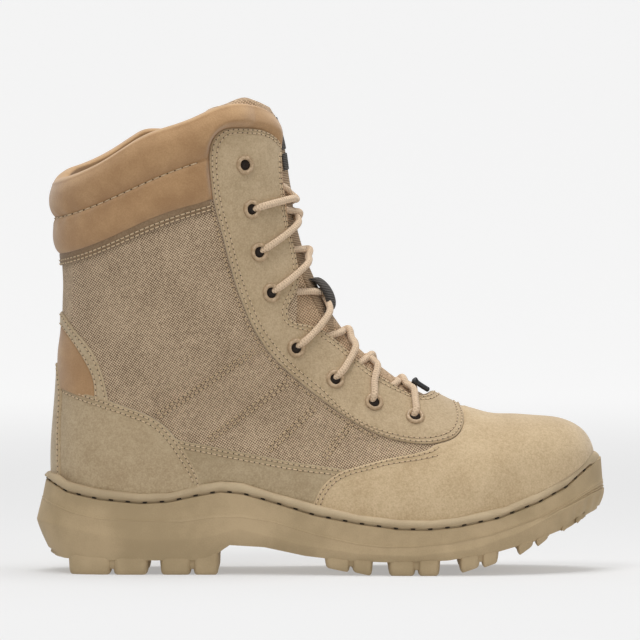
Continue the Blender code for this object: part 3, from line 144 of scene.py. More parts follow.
TONGUE_EDGE: Line = (
    (0.300, 0.960), (0.308, 0.996), (0.340, 1.012), (0.368, 1.026), (0.386, 1.031),
    (0.402, 1.026), (0.430, 1.005))
TONGUE_BACK: Line = (
    (0.300, 0.960), (0.312, 0.850), (0.334, 0.740), (0.366, 0.640), (0.400, 0.560),
    (0.440, 0.490), (0.500, 0.425), (0.570, 0.375), (0.640, 0.345), (0.690, 0.338),
    (0.720, 0.350), (0.735, 0.390))
COUNTER: Line = (
    (0.002, 0.410), (0.026, 0.409), (0.048, 0.407), (0.076, 0.395), (0.107, 0.382),
    (0.151, 0.364), (0.181, 0.351), (0.210, 0.335), (0.229, 0.317), (0.245, 0.296),
    (0.268, 0.257), (0.283, 0.224), (0.292, 0.194), (0.296, 0.170))
MUDGUARD: Line = (
    (0.225, 0.300), (0.252, 0.289), (0.287, 0.280), (0.340, 0.267), (0.401, 0.253),
    (0.463, 0.239), (0.516, 0.230), (0.551, 0.224))
VAMP: Line = (
    (0.474, 0.120), (0.487, 0.152), (0.500, 0.185), (0.521, 0.211), (0.542, 0.224),
    (0.563, 0.231), (0.616, 0.248), (0.671, 0.261), (0.688, 0.269), (0.696, 0.276))
STAY_OUT: Line = (
    (0.4265, 0.905), (0.423, 0.925), (0.408, 0.944), (0.389, 0.953), (0.357, 0.956),
    (0.326, 0.951), (0.311, 0.933), (0.305, 0.904), (0.307, 0.846), (0.313, 0.796),
    (0.320, 0.761), (0.332, 0.701), (0.343, 0.651), (0.364, 0.576), (0.382, 0.523),
    (0.396, 0.497), (0.423, 0.455), (0.468, 0.404), (0.513, 0.361), (0.557, 0.324),
    (0.600, 0.298), (0.643, 0.283), (0.683, 0.278), (0.713, 0.283), (0.738, 0.298),
    (0.748, 0.324), (0.746, 0.345), (0.732, 0.374), (0.720, 0.402))
STAY_IN: Line = (
    (0.4265, 0.905), (0.426, 0.867), (0.431, 0.813), (0.438, 0.755)) + OPENING[15:]
COLLAR: Line = (
    (-0.030, 0.678), (0.005, 0.681), (0.026, 0.685), (0.048, 0.690), (0.122, 0.718),
    (0.190, 0.756), (0.257, 0.787), (0.308, 0.805))
CUFF_LOW: Line = COLLAR + (
    (0.327, 0.822), (0.334, 0.850), (0.342, 0.885), (0.362, 0.912), (0.392, 0.905),
    (0.410, 0.870), (0.420, 0.820), (0.428, 0.765))
CUFF_TOP: Line = OPENING[:15]
BINDING: Line = (
    (-0.030, 0.650), (0.005, 0.653), (0.026, 0.657), (0.048, 0.662), (0.122, 0.691),
    (0.190, 0.728), (0.257, 0.759), (0.308, 0.778))
TRIM_OUT: Line = (
    (-0.020, 0.574), (0.005, 0.573), (0.026, 0.572), (0.043, 0.564), (0.058, 0.541),
    (0.079, 0.510), (0.098, 0.482), (0.112, 0.451), (0.121, 0.420), (0.129, 0.379),
    (0.134, 0.348))
TRIM_IN: Line = (
    (-0.020, 0.549), (0.005, 0.549), (0.026, 0.547), (0.040, 0.538), (0.051, 0.523),
    (0.074, 0.485), (0.087, 0.460), (0.097, 0.437), (0.104, 0.413), (0.106, 0.385),
    (0.107, 0.348))
BACKSTAY: Line = (
    (0.041, 0.471), (0.045, 0.441), (0.049, 0.410), (0.051, 0.386), (0.050, 0.348),
    (0.049, 0.270), (0.050, 0.210))
ZIP_LINE: Line = (
    (0.192, 0.952), (0.196, 0.930), (0.212, 0.800), (0.228, 0.660), (0.246, 0.520),
    (0.266, 0.400), (0.276, 0.330))
EYELETS: Line = (
    (0.364, 0.876), (0.376, 0.781), (0.389, 0.689), (0.410, 0.602), (0.453, 0.483),
    (0.521, 0.415), (0.589, 0.365), (0.661, 0.334))
# Ends of the lace keeper on the tongue's crest
KEEPER: Line = ((0.503, 0.640), (0.531, 0.568))
# Double stitch rows across the quarter: lower and upper end
QUILTS = (
    ((0.215, 0.339), (0.387, 0.480)), ((0.305, 0.289), (0.442, 0.411)),
    ((0.408, 0.265), (0.490, 0.357)), ((0.505, 0.248), (0.555, 0.326)),
)
# Soft troughs and ridges: start, end, depth in metres (negative is a trough), width, side
CREASES = (
    ((0.395, 0.470), (0.300, 0.400), -0.0011, 0.0075, 0),
    ((0.375, 0.520), (0.270, 0.470), 0.0008, 0.0085, 0),
    ((0.350, 0.600), (0.230, 0.560), -0.0009, 0.0080, 0),
    ((0.330, 0.700), (0.180, 0.640), 0.0006, 0.0100, 0),
    ((0.140, 0.480), (0.200, 0.410), -0.0008, 0.0090, 0),
    ((0.545, 0.270), (0.430, 0.300), -0.0006, 0.0060, 0),
    ((0.790, 0.325), (0.760, 0.250), -0.0007, 0.0065, -1),
    ((0.800, 0.325), (0.780, 0.240), -0.0008, 0.0070, 1),
    ((0.840, 0.320), (0.830, 0.250), 0.0004, 0.0080, 0),
    ((0.060, 0.620), (0.110, 0.560), -0.0006, 0.0080, 0),
)
# Main lugs: near and far end, and lift of each end
LUGS = (
    (0.062, 0.197, 0.000, 0.000), (0.222, 0.320, 0.000, 0.000), (0.509, 0.588, 0.016, 0.000),
    (0.619, 0.705, 0.000, 0.000), (0.743, 0.807, 0.006, 0.026), (0.844, 0.896, 0.042, 0.074),
    (0.922, 0.962, 0.090, 0.118),
)


class Side(Enum):
    """The two sides of the boot."""

    LATERAL = -1
    MEDIAL = 1

    @property
    def other(self) -> "Side":
        """The opposite side."""
        return Side(-self.value)


def spline(knots: np.ndarray, values: np.ndarray, at: np.ndarray) -> np.ndarray:
    """Natural cubic through the values at the knots: second derivatives from the usual
    three-term system, then one cubic for each piece.

    Args:
        knots: Rising places of the values.
        values: One value or row for each knot.
        at: Places to evaluate.

    Returns:
        The curve at those places.
    """
    knots = np.asarray(knots, float)
    values = np.asarray(values, float)
    count = len(knots)
    step = np.diff(knots)
    matrix = np.eye(count)
    right = np.zeros((count,) + values.shape[1:])
    slope = (np.diff(values, axis=0).T / step).T
    inner = np.arange(1, count - 1)
    matrix[inner, inner - 1] = step[:-1]
    matrix[inner, inner] = 2.0 * (step[:-1] + step[1:])
    matrix[inner, inner + 1] = step[1:]
    right[1:-1] = 3.0 * np.diff(slope, axis=0)
    bend = np.linalg.solve(matrix, right)
    at = np.clip(np.asarray(at, float), knots[0], knots[-1])
    piece = np.clip(np.searchsorted(knots, at, side="right") - 1, 0, count - 2)
    along = at - knots[piece]
    width = step[piece]
    if values.ndim > 1:
        along = along[..., None]
        width = width[..., None]
    first = slope[piece] - width * (2.0 * bend[piece] + bend[piece + 1]) / 3.0
    third = (bend[piece + 1] - bend[piece]) / (3.0 * width)
    return values[piece] + along * (first + along * (bend[piece] + along * third))


def side_x(share: np.ndarray) -> np.ndarray:
    """World X of a length share: (share - 0.5) times the length."""
    return (np.asarray(share, float) - 0.5) * LENGTH


def side_points(line: Line) -> np.ndarray:
    """World X and Z of the points of a side-view line."""
    table = np.asarray(line, float)
    return np.stack([side_x(table[:, 0]), table[:, 1] * HEIGHT], axis=1)


def level(line: Line, x: np.ndarray) -> np.ndarray:
    """World Z of a side-view line at world X, straight between its points."""
    points = side_points(line)
    return np.interp(x, points[:, 0], points[:, 1])


def lengths(points: np.ndarray) -> np.ndarray:
    """Distance along a polyline at each of its points."""
    return np.concatenate([[0.0], np.cumsum(np.linalg.norm(np.diff(points, axis=0), axis=1))])


def smooth(line: Line, spacing: float = 0.0006) -> np.ndarray:
    """A side-view line as a cubic with close points."""
    points = side_points(line)
    along = lengths(points)
    count = max(3, int(along[-1] / spacing) + 1)
    return spline(along, points, np.linspace(0.0, along[-1], count))


def swing(x: np.ndarray) -> np.ndarray:
    """Sideways place of the last's middle line at world X."""
    table = np.asarray(SWING)
    return spline(table[:, 0], table[:, 1], x / LENGTH + 0.5)


def away(points: np.ndarray, line: np.ndarray) -> np.ndarray:
    """Distance of side-view points from a polyline, segment by segment.

    Args:
        points: Array of X and Z pairs, any leading shape.
        line: Points of the polyline.

    Returns:
        The shortest distance of each point.
    """
    best = np.full(points.shape[:-1], 1e9)
    for start, end in zip(line[:-1], line[1:]):
        way = end - start
        share = np.clip((points - start) @ way / max(way @ way, 1e-12), 0.0, 1.0)
        gap = points - start - share[..., None] * way
        best = np.minimum(best, np.hypot(gap[..., 0], gap[..., 1]))
    return best


def within(points: np.ndarray, ring: np.ndarray) -> np.ndarray:
    """True where a side-view point lies in a closed ring, by counting crossed edges."""
    inside = np.zeros(points.shape[:-1], bool)
    x, z = points[..., 0], points[..., 1]
    for (ax, az), (bx, bz) in zip(ring, np.roll(ring, -1, axis=0)):
        if abs(bz - az) < 1e-12:
            continue
        crossed = ((az > z) != (bz > z)) & (x < (bx - ax) * (z - az) / (bz - az) + ax)
        inside ^= crossed
    return inside


def ease(value: np.ndarray) -> np.ndarray:
    """Smooth step from 0 to 1."""
    value = np.clip(value, 0.0, 1.0)
    return value * value * (3.0 - 2.0 * value)


def blend(first: np.ndarray, second: np.ndarray, share: np.ndarray) -> np.ndarray:
    """Straight mix of two values by a share."""
    return first * (1.0 - share) + second * share


def sample(want: np.ndarray, along: np.ndarray, values: np.ndarray) -> np.ndarray:
    """Rows of a table at lengths along it, straight between them."""
    return np.stack([np.interp(want, along, column) for column in values.T], axis=1)


def unit(vectors: np.ndarray) -> np.ndarray:
    """Vectors at length 1."""
    return vectors / np.linalg.norm(vectors, axis=-1, keepdims=True)


def circle(count: int) -> np.ndarray:
    """Even angles round a full turn."""
    return np.linspace(0.0, 2.0 * math.pi, count, endpoint=False)


def squarish(wave: np.ndarray, power: float) -> np.ndarray:
    """A wave from -1 to 1, flattened towards a square one by a power below 1."""
    return np.sign(wave) * np.abs(wave) ** power


class Last:
    """The boot's form: rings of rounded sections from the collar round to the toe.

    A point is named by its place (0 top, 1 toe) and its column (0 heel or base line, 9
    crest, 18 base again; below 9 is lateral).
    """

    PLACES = 241
    STEPS = 360

    def __init__(self) -> None:
        table = np.array([row[:6] + row[7:] for row in SECTIONS])
        table[:, 4:6] *= np.array([row[6] for row in SECTIONS])[:, None]
        rows = spline(np.linspace(0.0, 1.0, len(SECTIONS)), table,
                      np.linspace(0.0, 1.0, self.PLACES))
        self.points = np.array([self._ring(row, 0.0) for row in rows])
        outer = np.array([self._ring(row, 0.004) for row in rows])
        inner = np.array([self._ring(row, -0.004) for row in rows])
        self.growth = (outer - inner) / 0.008
        self.normals = self._facing()
        self.creases = [(side_points((start, end)), depth, width, side)
                        for start, end, depth, width, side in CREASES]

    def _ring(self, row: np.ndarray, offset: float) -> np.ndarray:
        """One closed section: a superellipse along the plane from crest to base, its
        points even by girth with more near the crest, grown by the offset."""
        crest = np.array([side_x(row[0]), row[1] * HEIGHT])
        base = np.array([side_x(row[2]), row[3] * HEIGHT])
        lateral, medial, widest, front, back, bow = row[4:]
        reach = np.linalg.norm(crest - base)
        ahead = (crest - base) / reach
        across = np.array([-ahead[1], ahead[0]])
        angle = np.linspace(0.0, math.pi, 400)
        cos, sin = np.abs(np.cos(angle)), np.abs(np.sin(angle))
        near = angle <= math.pi / 2
        depth = np.where(near, widest * (1.0 - cos ** (2.0 / front)),
                         widest + (1.0 - widest) * cos ** (2.0 / back))
        part = np.where(near, sin ** (2.0 / front), sin ** (2.0 / back))
        arc = np.hypot(np.diff(depth * reach), np.diff(part * (lateral + medial) / 2.0))
        girth = np.concatenate([[0.0], np.cumsum(arc)])
        share = np.linspace(0.0, 1.0, self.STEPS // 2 + 1)
        even = (share + 0.35 * (share ** 2 - share)) * girth[-1]
        depth = np.interp(even, girth, depth)
        part = np.interp(even, girth, part)
        stretched = depth * (reach + 2.0 * offset) - offset
        side = (crest - np.outer(stretched, ahead)
                + np.outer(4.0 * depth * (1.0 - depth) * bow * reach, across))
        middle = swing(side[:, 0])
        near_side = np.stack([side[:, 0], middle - part * (lateral + offset), side[:, 1]], axis=1)
        far_side = np.stack([side[:, 0], middle + part * (medial + offset), side[:, 1]], axis=1)
        return np.concatenate([near_side[::-1], far_side[1:-1]])

    def _facing(self) -> np.ndarray:
        """Outward unit normals of the rings, from the cross of both grid directions."""
        down = np.gradient(self.points, axis=0)
        round_ = np.roll(self.points, -1, axis=1) - np.roll(self.points, 1, axis=1)
        normal = np.cross(round_, down)
        normal /= np.linalg.norm(normal, axis=2, keepdims=True) + 1e-12
        out = np.sum(normal * self.growth, axis=2, keepdims=True)
        return normal * np.sign(out)

    def _weigh(self, grid: np.ndarray, place: np.ndarray, column: np.ndarray) -> np.ndarray:
        """Cubic blend of the sixteen grid points round each place and column."""
        row = np.clip(place, 0.0, 1.0) * (self.PLACES - 1)
        turn = np.asarray(column, float) / FULL_TURN * self.STEPS
        low = np.clip(np.floor(row).astype(int), 0, self.PLACES - 2)
        left = np.floor(turn).astype(int)

        def weights(t: np.ndarray) -> np.ndarray:
            """Catmull-Rom weights of four neighbours at a share between the middle two."""
            return np.stack([-0.5 * t + t ** 2 - 0.5 * t ** 3, 1.0 - 2.5 * t ** 2 + 1.5 * t ** 3,
                             0.5 * t + 2.0 * t ** 2 - 1.5 * t ** 3,
                             -0.5 * t ** 2 + 0.5 * t ** 3], axis=-1)

        rows = np.clip(low[..., None] + np.arange(-1, 3), 0, self.PLACES - 1)
        turns = (left[..., None] + np.arange(-1, 3)) % self.STEPS
        taps = grid[rows[..., :, None], turns[..., None, :]]
        return np.einsum("...a,...b,...abk->...k", weights(row - low), weights(turn - left), taps)

    def at(self, path: np.ndarray, offset: np.ndarray | float = 0.0) -> np.ndarray:
        """World points of places and columns, grown by an offset in metres."""
        place, column = path[..., 0], path[..., 1]
        grown = self._weigh(self.growth, place, column) * np.asarray(offset, float)[..., None]
        return self._weigh(self.points, place, column) + grown

    def facing(self, path: np.ndarray) -> np.ndarray:
        """Outward unit normals at places and columns."""
        normal = self._weigh(self.normals, path[..., 0], path[..., 1])
        return unit(normal)

    def relief(self, points: np.ndarray) -> np.ndarray:
        """Height of the listed creases at world points: each is a bell across its segment that
        fades at its ends."""
        flat = points[..., [0, 2]]
        side = np.clip((points[..., 1] - swing(points[..., 0])) / 0.014, -1.0, 1.0)
        total = np.zeros(flat.shape[:-1])
        for segment, depth, width, where in self.creases:
            bell = np.exp(-(away(flat, segment) / width) ** 2)
            if where:
                bell = bell * ease(side * where * 0.5 + 0.5)
            total += depth * bell
        return total

    def locate(self, points: np.ndarray, side: Side) -> tuple[np.ndarray, np.ndarray]:
        """Places and columns whose side view is the given points, on one side.

        Args:
            points: X and Z pairs.
            side: The side to search.

        Returns:
            Places and columns, and how far each misses its point. The nearest grid
            point is refined by damped least-squares steps.
        """
        low, high = (0.0, HALF_TURN) if side is Side.LATERAL else (HALF_TURN, FULL_TURN)
        mesh = np.stack(np.meshgrid(np.linspace(0, 1, 121), np.linspace(low, high, 91),
                                    indexing="ij"), axis=-1).reshape(-1, 2)
        flat = self.at(mesh)[:, [0, 2]]
        gap = points[:, None] - flat[None]
        path = mesh[np.argmin(np.sum(gap ** 2, axis=2), axis=1)].copy()
        steps = np.array([[0.002, 0.0], [0.0, 0.05]])
        limits = np.array([[0.0, low], [1.0, high]])
        for _ in range(14):
            miss = points - self.at(path)[:, [0, 2]]
            slope = np.stack([(self.at(np.clip(path + step, *limits))
                               - self.at(np.clip(path - step, *limits)))[:, [0, 2]]
                              for step in steps], axis=2)
            system = np.einsum("nki,nkj->nij", slope, slope) + np.eye(2) * 1e-9
            move = np.linalg.solve(system, np.einsum("nki,nk->ni", slope, miss)[..., None])[..., 0]
            move = np.clip(move * 2.0 * steps.max(axis=0), -np.array([0.02, 0.6]),
                           np.array([0.02, 0.6]))
            path = np.clip(path + move, *limits)
        return path, np.linalg.norm(points - self.at(path)[:, [0, 2]], axis=1)

    def meet(self, line: np.ndarray, column: float) -> np.ndarray:
        """Place and column where a line of the form comes nearest a side-view line."""
        path = np.stack([np.linspace(0.0, 1.0, 1200), np.full(1200, column)], axis=1)
        gap = away(self.at(path)[:, [0, 2]], line[::4])
        return path[np.argmin(gap)]

    def even(self, path: np.ndarray, count: int, rolled: bool = False) -> np.ndarray:
        """A line on the form with its points even in space, closer at rolled ends."""
        fine = sample(np.linspace(0, 1, 6 * count), np.linspace(0, 1, len(path)), path)
        along = lengths(self.at(fine))
        want = np.linspace(0.0, along[-1], count)
        if rolled:
            near = np.array([0.00008, 0.0002, 0.0004, 0.0007])
            want = np.unique(np.concatenate([want, near, along[-1] - near]))
        return sample(want, along, fine)

    def trace(self, line: Line, side: Side, begin: float | None = None,
              end: float | None = None) -> np.ndarray:
        """A side-view line laid on the form.

        Args:
            line: The line in shares.
            side: The side that it lies on.
            begin: Column that it starts from, when that is on the outline.
            end: Column that it ends at, when that is on the outline.

        Returns:
            Places and columns along it.
        """
        fine = smooth(line)
        path, miss = self.locate(fine, side)
        path = path[miss < 0.00015]
        parts = [path]
        if begin is not None:
            parts.insert(0, self.meet(fine, begin)[None])
        if end is not None:
            parts.append(self.meet(fine, end)[None])
        return np.concatenate(parts)

    def over_crest(self, line: Line, count: int) -> np.ndarray:
        """A line from its lateral start over the crest to its medial start."""
        halves = [self.even(self.trace(line, side, end=HALF_TURN), count) for side in Side]
        return np.concatenate([halves[0], halves[1][::-1][1:]])

    def round_heel(self, line: Line, count: int, rolled: bool = False) -> np.ndarray:
        """A line from its lateral front round the heel to its medial front."""
        lateral = self.even(self.trace(line, Side.LATERAL, begin=0.0), count, rolled)
        medial = self.even(self.trace(line, Side.MEDIAL, begin=FULL_TURN), count, rolled)
        return np.concatenate([lateral[::-1], medial[1:] - np.array([0.0, FULL_TURN])])

    def all_round(self, line: Line, count: int) -> np.ndarray:
        """A closed line: heel, lateral side, crest, medial side."""
        lateral = self.even(self.trace(line, Side.LATERAL, 0.0, HALF_TURN), count)
        medial = self.even(self.trace(line, Side.MEDIAL, FULL_TURN, HALF_TURN), count)
        return np.concatenate([lateral, medial[::-1][1:]])


LAST = Last()


def ring_faces(rings: int, count: int, closed: bool = False) -> np.ndarray:
    """Quads between neighbouring rings of points, each ring closed on itself."""
    t = np.arange(rings if closed else rings - 1)[:, None]
    k = np.arange(count)[None]
    after, beyond = (t + 1) % rings, (k + 1) % count
    return np.stack([t * count + k, t * count + beyond, after * count + beyond,
                     after * count + k], axis=-1).reshape(-1, 4)


def finished(name: str, points: np.ndarray, faces: list, uv: np.ndarray | None = None,
             weld: float = 0.0, crease: float | None = None) -> bpy.types.Object:
    """Object from points and faces, turned outwards and shaded smooth.

    Args:
        name: Name of the piece.
        points: World points, in any leading shape.
        faces: Point numbers of each face.
        uv: A pair for each point, laid on the corners.
        weld: Distance within which points are joined.
        crease: Angle in degrees over which an edge stays sharp.

    Returns:
        The object.
    """
    data = bpy.data.meshes.new(name)
    data.from_pydata(points.reshape(-1, 3), [], faces)
    if uv is not None:
        layer = data.uv_layers.new(name="cloth")
        corner = np.zeros(len(data.loops), int)
        data.loops.foreach_get("vertex_index", corner)
        layer.data.foreach_set("uv", uv.reshape(-1, 2)[corner].astype(np.float32).ravel())
    shape = bmesh.new()
    shape.from_mesh(data)
    if weld:
        bmesh.ops.remove_doubles(shape, verts=shape.verts, dist=weld)
    bmesh.ops.recalc_face_normals(shape, faces=shape.faces)
    shape.to_mesh(data)
    shape.free()
    data.shade_smooth()
    if crease is not None:
        data.set_sharp_from_angle(angle=math.radians(crease))
    made = bpy.data.objects.new(name, data)
    bpy.context.scene.collection.objects.link(made)
    return made


def to_mesh(name: str, grid: np.ndarray, closed: bool = False, uv: np.ndarray | None = None,
            crease: float | None = None) -> bpy.types.Object:
    """Object from a grid of closed rings.

    Args:
        name: Name of the piece.
        grid: World points, ring by ring.
        closed: Whether the last ring joins the first; if not, both ends get one face.
        uv: A pair for each point.
        crease: Angle in degrees over which an edge stays sharp.

    Returns:
        The object.
    """
    rings, count = grid.shape[:2]
    listed = ring_faces(rings, count, closed).tolist()
    if not closed:
        listed.append(list(range(count))[::-1])
        listed.append(list(range((rings - 1) * count, rings * count)))
    return finished(name, grid, listed, uv, 2e-6, crease)


def copies(name: str, shape: np.ndarray, faces: np.ndarray,
           uv: np.ndarray | None = None) -> bpy.types.Object:
    """One object of many small closed pieces.

    Args:
        name: Name of the object.
        shape: Points of each copy, copies first.
        faces: Quads of one copy.
        uv: A pair for each point of one copy.

    Returns:
        The object.
    """
    many, count = shape.shape[:2]
    listed = (np.arange(many)[:, None, None] * count + faces[None]).reshape(-1, faces.shape[1])
    tiled = None if uv is None else np.tile(uv, (many, 1))
    return finished(name, shape, listed.tolist(), tiled)


def widths(first: np.ndarray, second: np.ndarray) -> np.ndarray:
    """Distance over the form between the matching points of two lines."""
    share = np.linspace(0.0, 1.0, 9)[:, None, None]
    rungs = LAST.at(blend(first, second, share))
    return np.sum(np.linalg.norm(np.diff(rungs, axis=0), axis=2), axis=0)


@dataclass
class Panel:
    """A closed piece of the upper between two lines on the form, with rolled edges."""

    name: str
    first: np.ndarray
    second: np.ndarray
    low: float
    high: float
    rows: int = 14
    roll: float = 0.0009
    first_seams: tuple[float, ...] = ()
    second_seams: tuple[float, ...] = ()
    creased: bool = True
    press: object = None
    width: np.ndarray = field(init=False)

    def __post_init__(self) -> None:
        self.width = np.maximum(widths(self.first, self.second), 1e-7)

    def _shares(self) -> np.ndarray:
        """Shares across: close at both edges and at the seams, even between."""
        roll = self.roll * np.array([0.0, 0.12, 0.3, 0.6, 1.0])
        near = [np.unique(np.concatenate([roll, *[seam + np.array([-6e-4, 0.0, 6e-4])
                                                  for seam in seams]]))
                for seams in (self.first_seams, self.second_seams)]
        left = [np.minimum(d / self.width, 0.45 * rank / len(near[0]))
                for rank, d in enumerate(near[0])]
        right = [1.0 - np.minimum(d / self.width, 0.45 * rank / len(near[1]))
                 for rank, d in enumerate(near[1])]
        step = np.linspace(0.0, 1.0, self.rows + 2)[1:-1]
        middle = [left[-1] + (right[-1] - left[-1]) * s for s in step]
        return np.stack(left + middle + right[::-1], axis=1)

    def height(self, share: np.ndarray, ends: np.ndarray) -> np.ndarray:
        """Offset of the outer face: a quarter circle up from each edge, less a shallow
        groove along each seam."""
        from_first = share * self.width[:, None]
        from_second = (1.0 - share) * self.width[:, None]
        edge = np.minimum(np.minimum(from_first, from_second), ends[:, None])
        climb = np.sqrt(1.0 - (1.0 - np.clip(edge / self.roll, 0.0, 1.0)) ** 2)
        rise = self.low + (self.high - self.low) * climb
        for distance, seams in ((from_first, self.first_seams),
                                (from_second, self.second_seams)):
            for seam in seams:
                rise = rise - 0.00022 * np.exp(-((distance - seam) / 0.0005) ** 2) * climb
        return rise

    def build(self) -> bpy.types.Object:
        """The piece: outer face, rolled edges and a plain underside."""
        share = self._shares()
        path = blend(self.first[:, None], self.second[:, None], share[..., None])
        middle = lengths(LAST.at(path[:, path.shape[1] // 2]))
        rise = self.height(share, np.minimum(middle, middle[-1] - middle))
        if self.creased:
            rise = rise + LAST.relief(LAST.at(path))
        if self.press is not None:
            rise = rise + self.press(path, rise)
        outer = LAST.at(path, rise)
        under = np.linspace(1.0, 0.0, 13)[None, 1:-1, None]
        back = blend(self.first[:, None], self.second[:, None], under)
        fall = np.full(back.shape[:2], self.low - 0.0003)
        if self.creased:
            fall = fall + LAST.relief(LAST.at(back))
        return to_mesh(self.name, np.concatenate([outer, LAST.at(back, fall)], axis=1))

    def row(self, distance: float, from_second: bool = False) -> tuple[np.ndarray, np.ndarray]:
        """Points and normals along a seam at a distance from one edge, on the face."""
        share = np.clip(distance / self.width, 0.0, 0.5)[:, None]
        if from_second:
            share = 1.0 - share
        keep = self.width > distance * 2.2
        path = blend(self.first, self.second, share)[keep]
        offset = np.full(len(path), self.high - 0.0001)
        if self.creased:
            offset = offset + LAST.relief(LAST.at(path))
        return LAST.at(path, offset), LAST.facing(path)


@dataclass
class Thread:
    """Sewn rows: one short arched six-sided stitch after another."""

    SIDES = 6

    pitch: float = 0.0029
    radius: float = 0.00036
    rise: float = 0.00026
    span: float = 1.0

    def sew(self, name: str, rows: list[tuple[np.ndarray, np.ndarray]]) -> bpy.types.Object:
        """Stitches along rows of points and normals.

        Args:
            name: Name of the object.
            rows: Points and outward normals of each row.

        Returns:
            One object. A stitch is a tube of five rings: its height over the face is an
            arch between two holes, and its radius swells a little in the middle.
        """
        spots, ways, ups = [], [], []
        for points, normals in rows:
            along = lengths(points)
            count = int(along[-1] / self.pitch)
            if count < 1:
                continue
            want = (np.arange(count) + 0.5) * along[-1] / count
            spots.append(sample(want, along, points))
            ups.append(sample(want, along, normals))
            ways.append(sample(want, along, np.gradient(points, axis=0)))
        spot, way, up = (np.concatenate(x) for x in (spots, ways, ups))
        way = unit(way)
        up = unit(up - way * np.sum(up * way, axis=1, keepdims=True))
        run = np.array([-0.50, -0.33, 0.0, 0.33, 0.50]) * self.pitch * self.span
        lift = np.array([-0.3, 0.4, 1.0, 0.4, -0.3]) * self.rise
        thick = np.array([0.95, 0.9, 1.0, 0.9, 0.95]) * self.radius
        angle = circle(self.SIDES)
        local = np.stack([np.broadcast_to(run[:, None], (5, self.SIDES)),
                          thick[:, None] * np.cos(angle),
                          lift[:, None] + thick[:, None] * np.sin(angle)], axis=-1).reshape(-1, 3)
        shape = spot[:, None] + np.einsum("vk,nkd->nvd", local,
                                          np.stack([way, np.cross(way, up), up], axis=1))
        caps = [[base + k for k in quad] for base in (0, 4 * self.SIDES)
                for quad in ((0, 1, 2, 3), (3, 4, 5, 0))]
        uv = np.stack([np.repeat(np.linspace(0.0, 1.0, 5), self.SIDES),
                       np.tile(angle / (2.0 * math.pi), 5)], axis=1)
        return copies(name, shape, np.concatenate([ring_faces(5, self.SIDES), caps]), uv)


def tube(name: str, path: np.ndarray, radius: np.ndarray | float, sides: int,
         up: np.ndarray, flat: np.ndarray | float = 1.0) -> bpy.types.Object:
    """Round cord along a path: rings square to the path, closed at both ends.

    Args:
        name: Name of the object.
        path: Points of the middle line.
        radius: Radius along the path.
        sides: Points of each ring.
        up: A direction at each point that the ring's flat side faces.
        flat: Share that the ring is pressed in that direction.

    Returns:
        The object, with length along and share round as its map.
    """
    way = unit(np.gradient(path, axis=0))
    side = unit(np.cross(way, up))
    top = np.cross(side, way)
    angle = circle(sides)
    radius = np.broadcast_to(np.asarray(radius, float), len(path))[:, None, None]
    flat = np.broadcast_to(np.asarray(flat, float), len(path))[:, None, None]
    grid = path[:, None] + radius * (np.cos(angle)[None, :, None] * side[:, None]
                                     + np.sin(angle)[None, :, None] * top[:, None] * flat)
    along = lengths(path)
    uv = np.stack(np.broadcast_arrays(along[:, None], angle[None] / (2 * math.pi)), axis=-1)
    return to_mesh(name, grid, uv=uv)


class Wire:
    """A shader socket that takes part in arithmetic."""

    def __init__(self, dye: "Dye", socket: bpy.types.NodeSocket) -> None:
        self.dye = dye
        self.socket = socket

    def __add__(self, other: "Wire | float") -> "Wire":
        """Sum."""
        return self.dye.math("ADD", self, other)

    __radd__ = __add__

    def __mul__(self, other: "Wire | float") -> "Wire":
        """Product."""
        return self.dye.math("MULTIPLY", self, other)

    __rmul__ = __mul__

    def __sub__(self, other: "Wire | float") -> "Wire":
        """Difference."""
        return self.dye.math("SUBTRACT", self, other)

    def __rsub__(self, other: float) -> "Wire":
        """Difference, the other way round."""
        return self.dye.math("SUBTRACT", other, self)


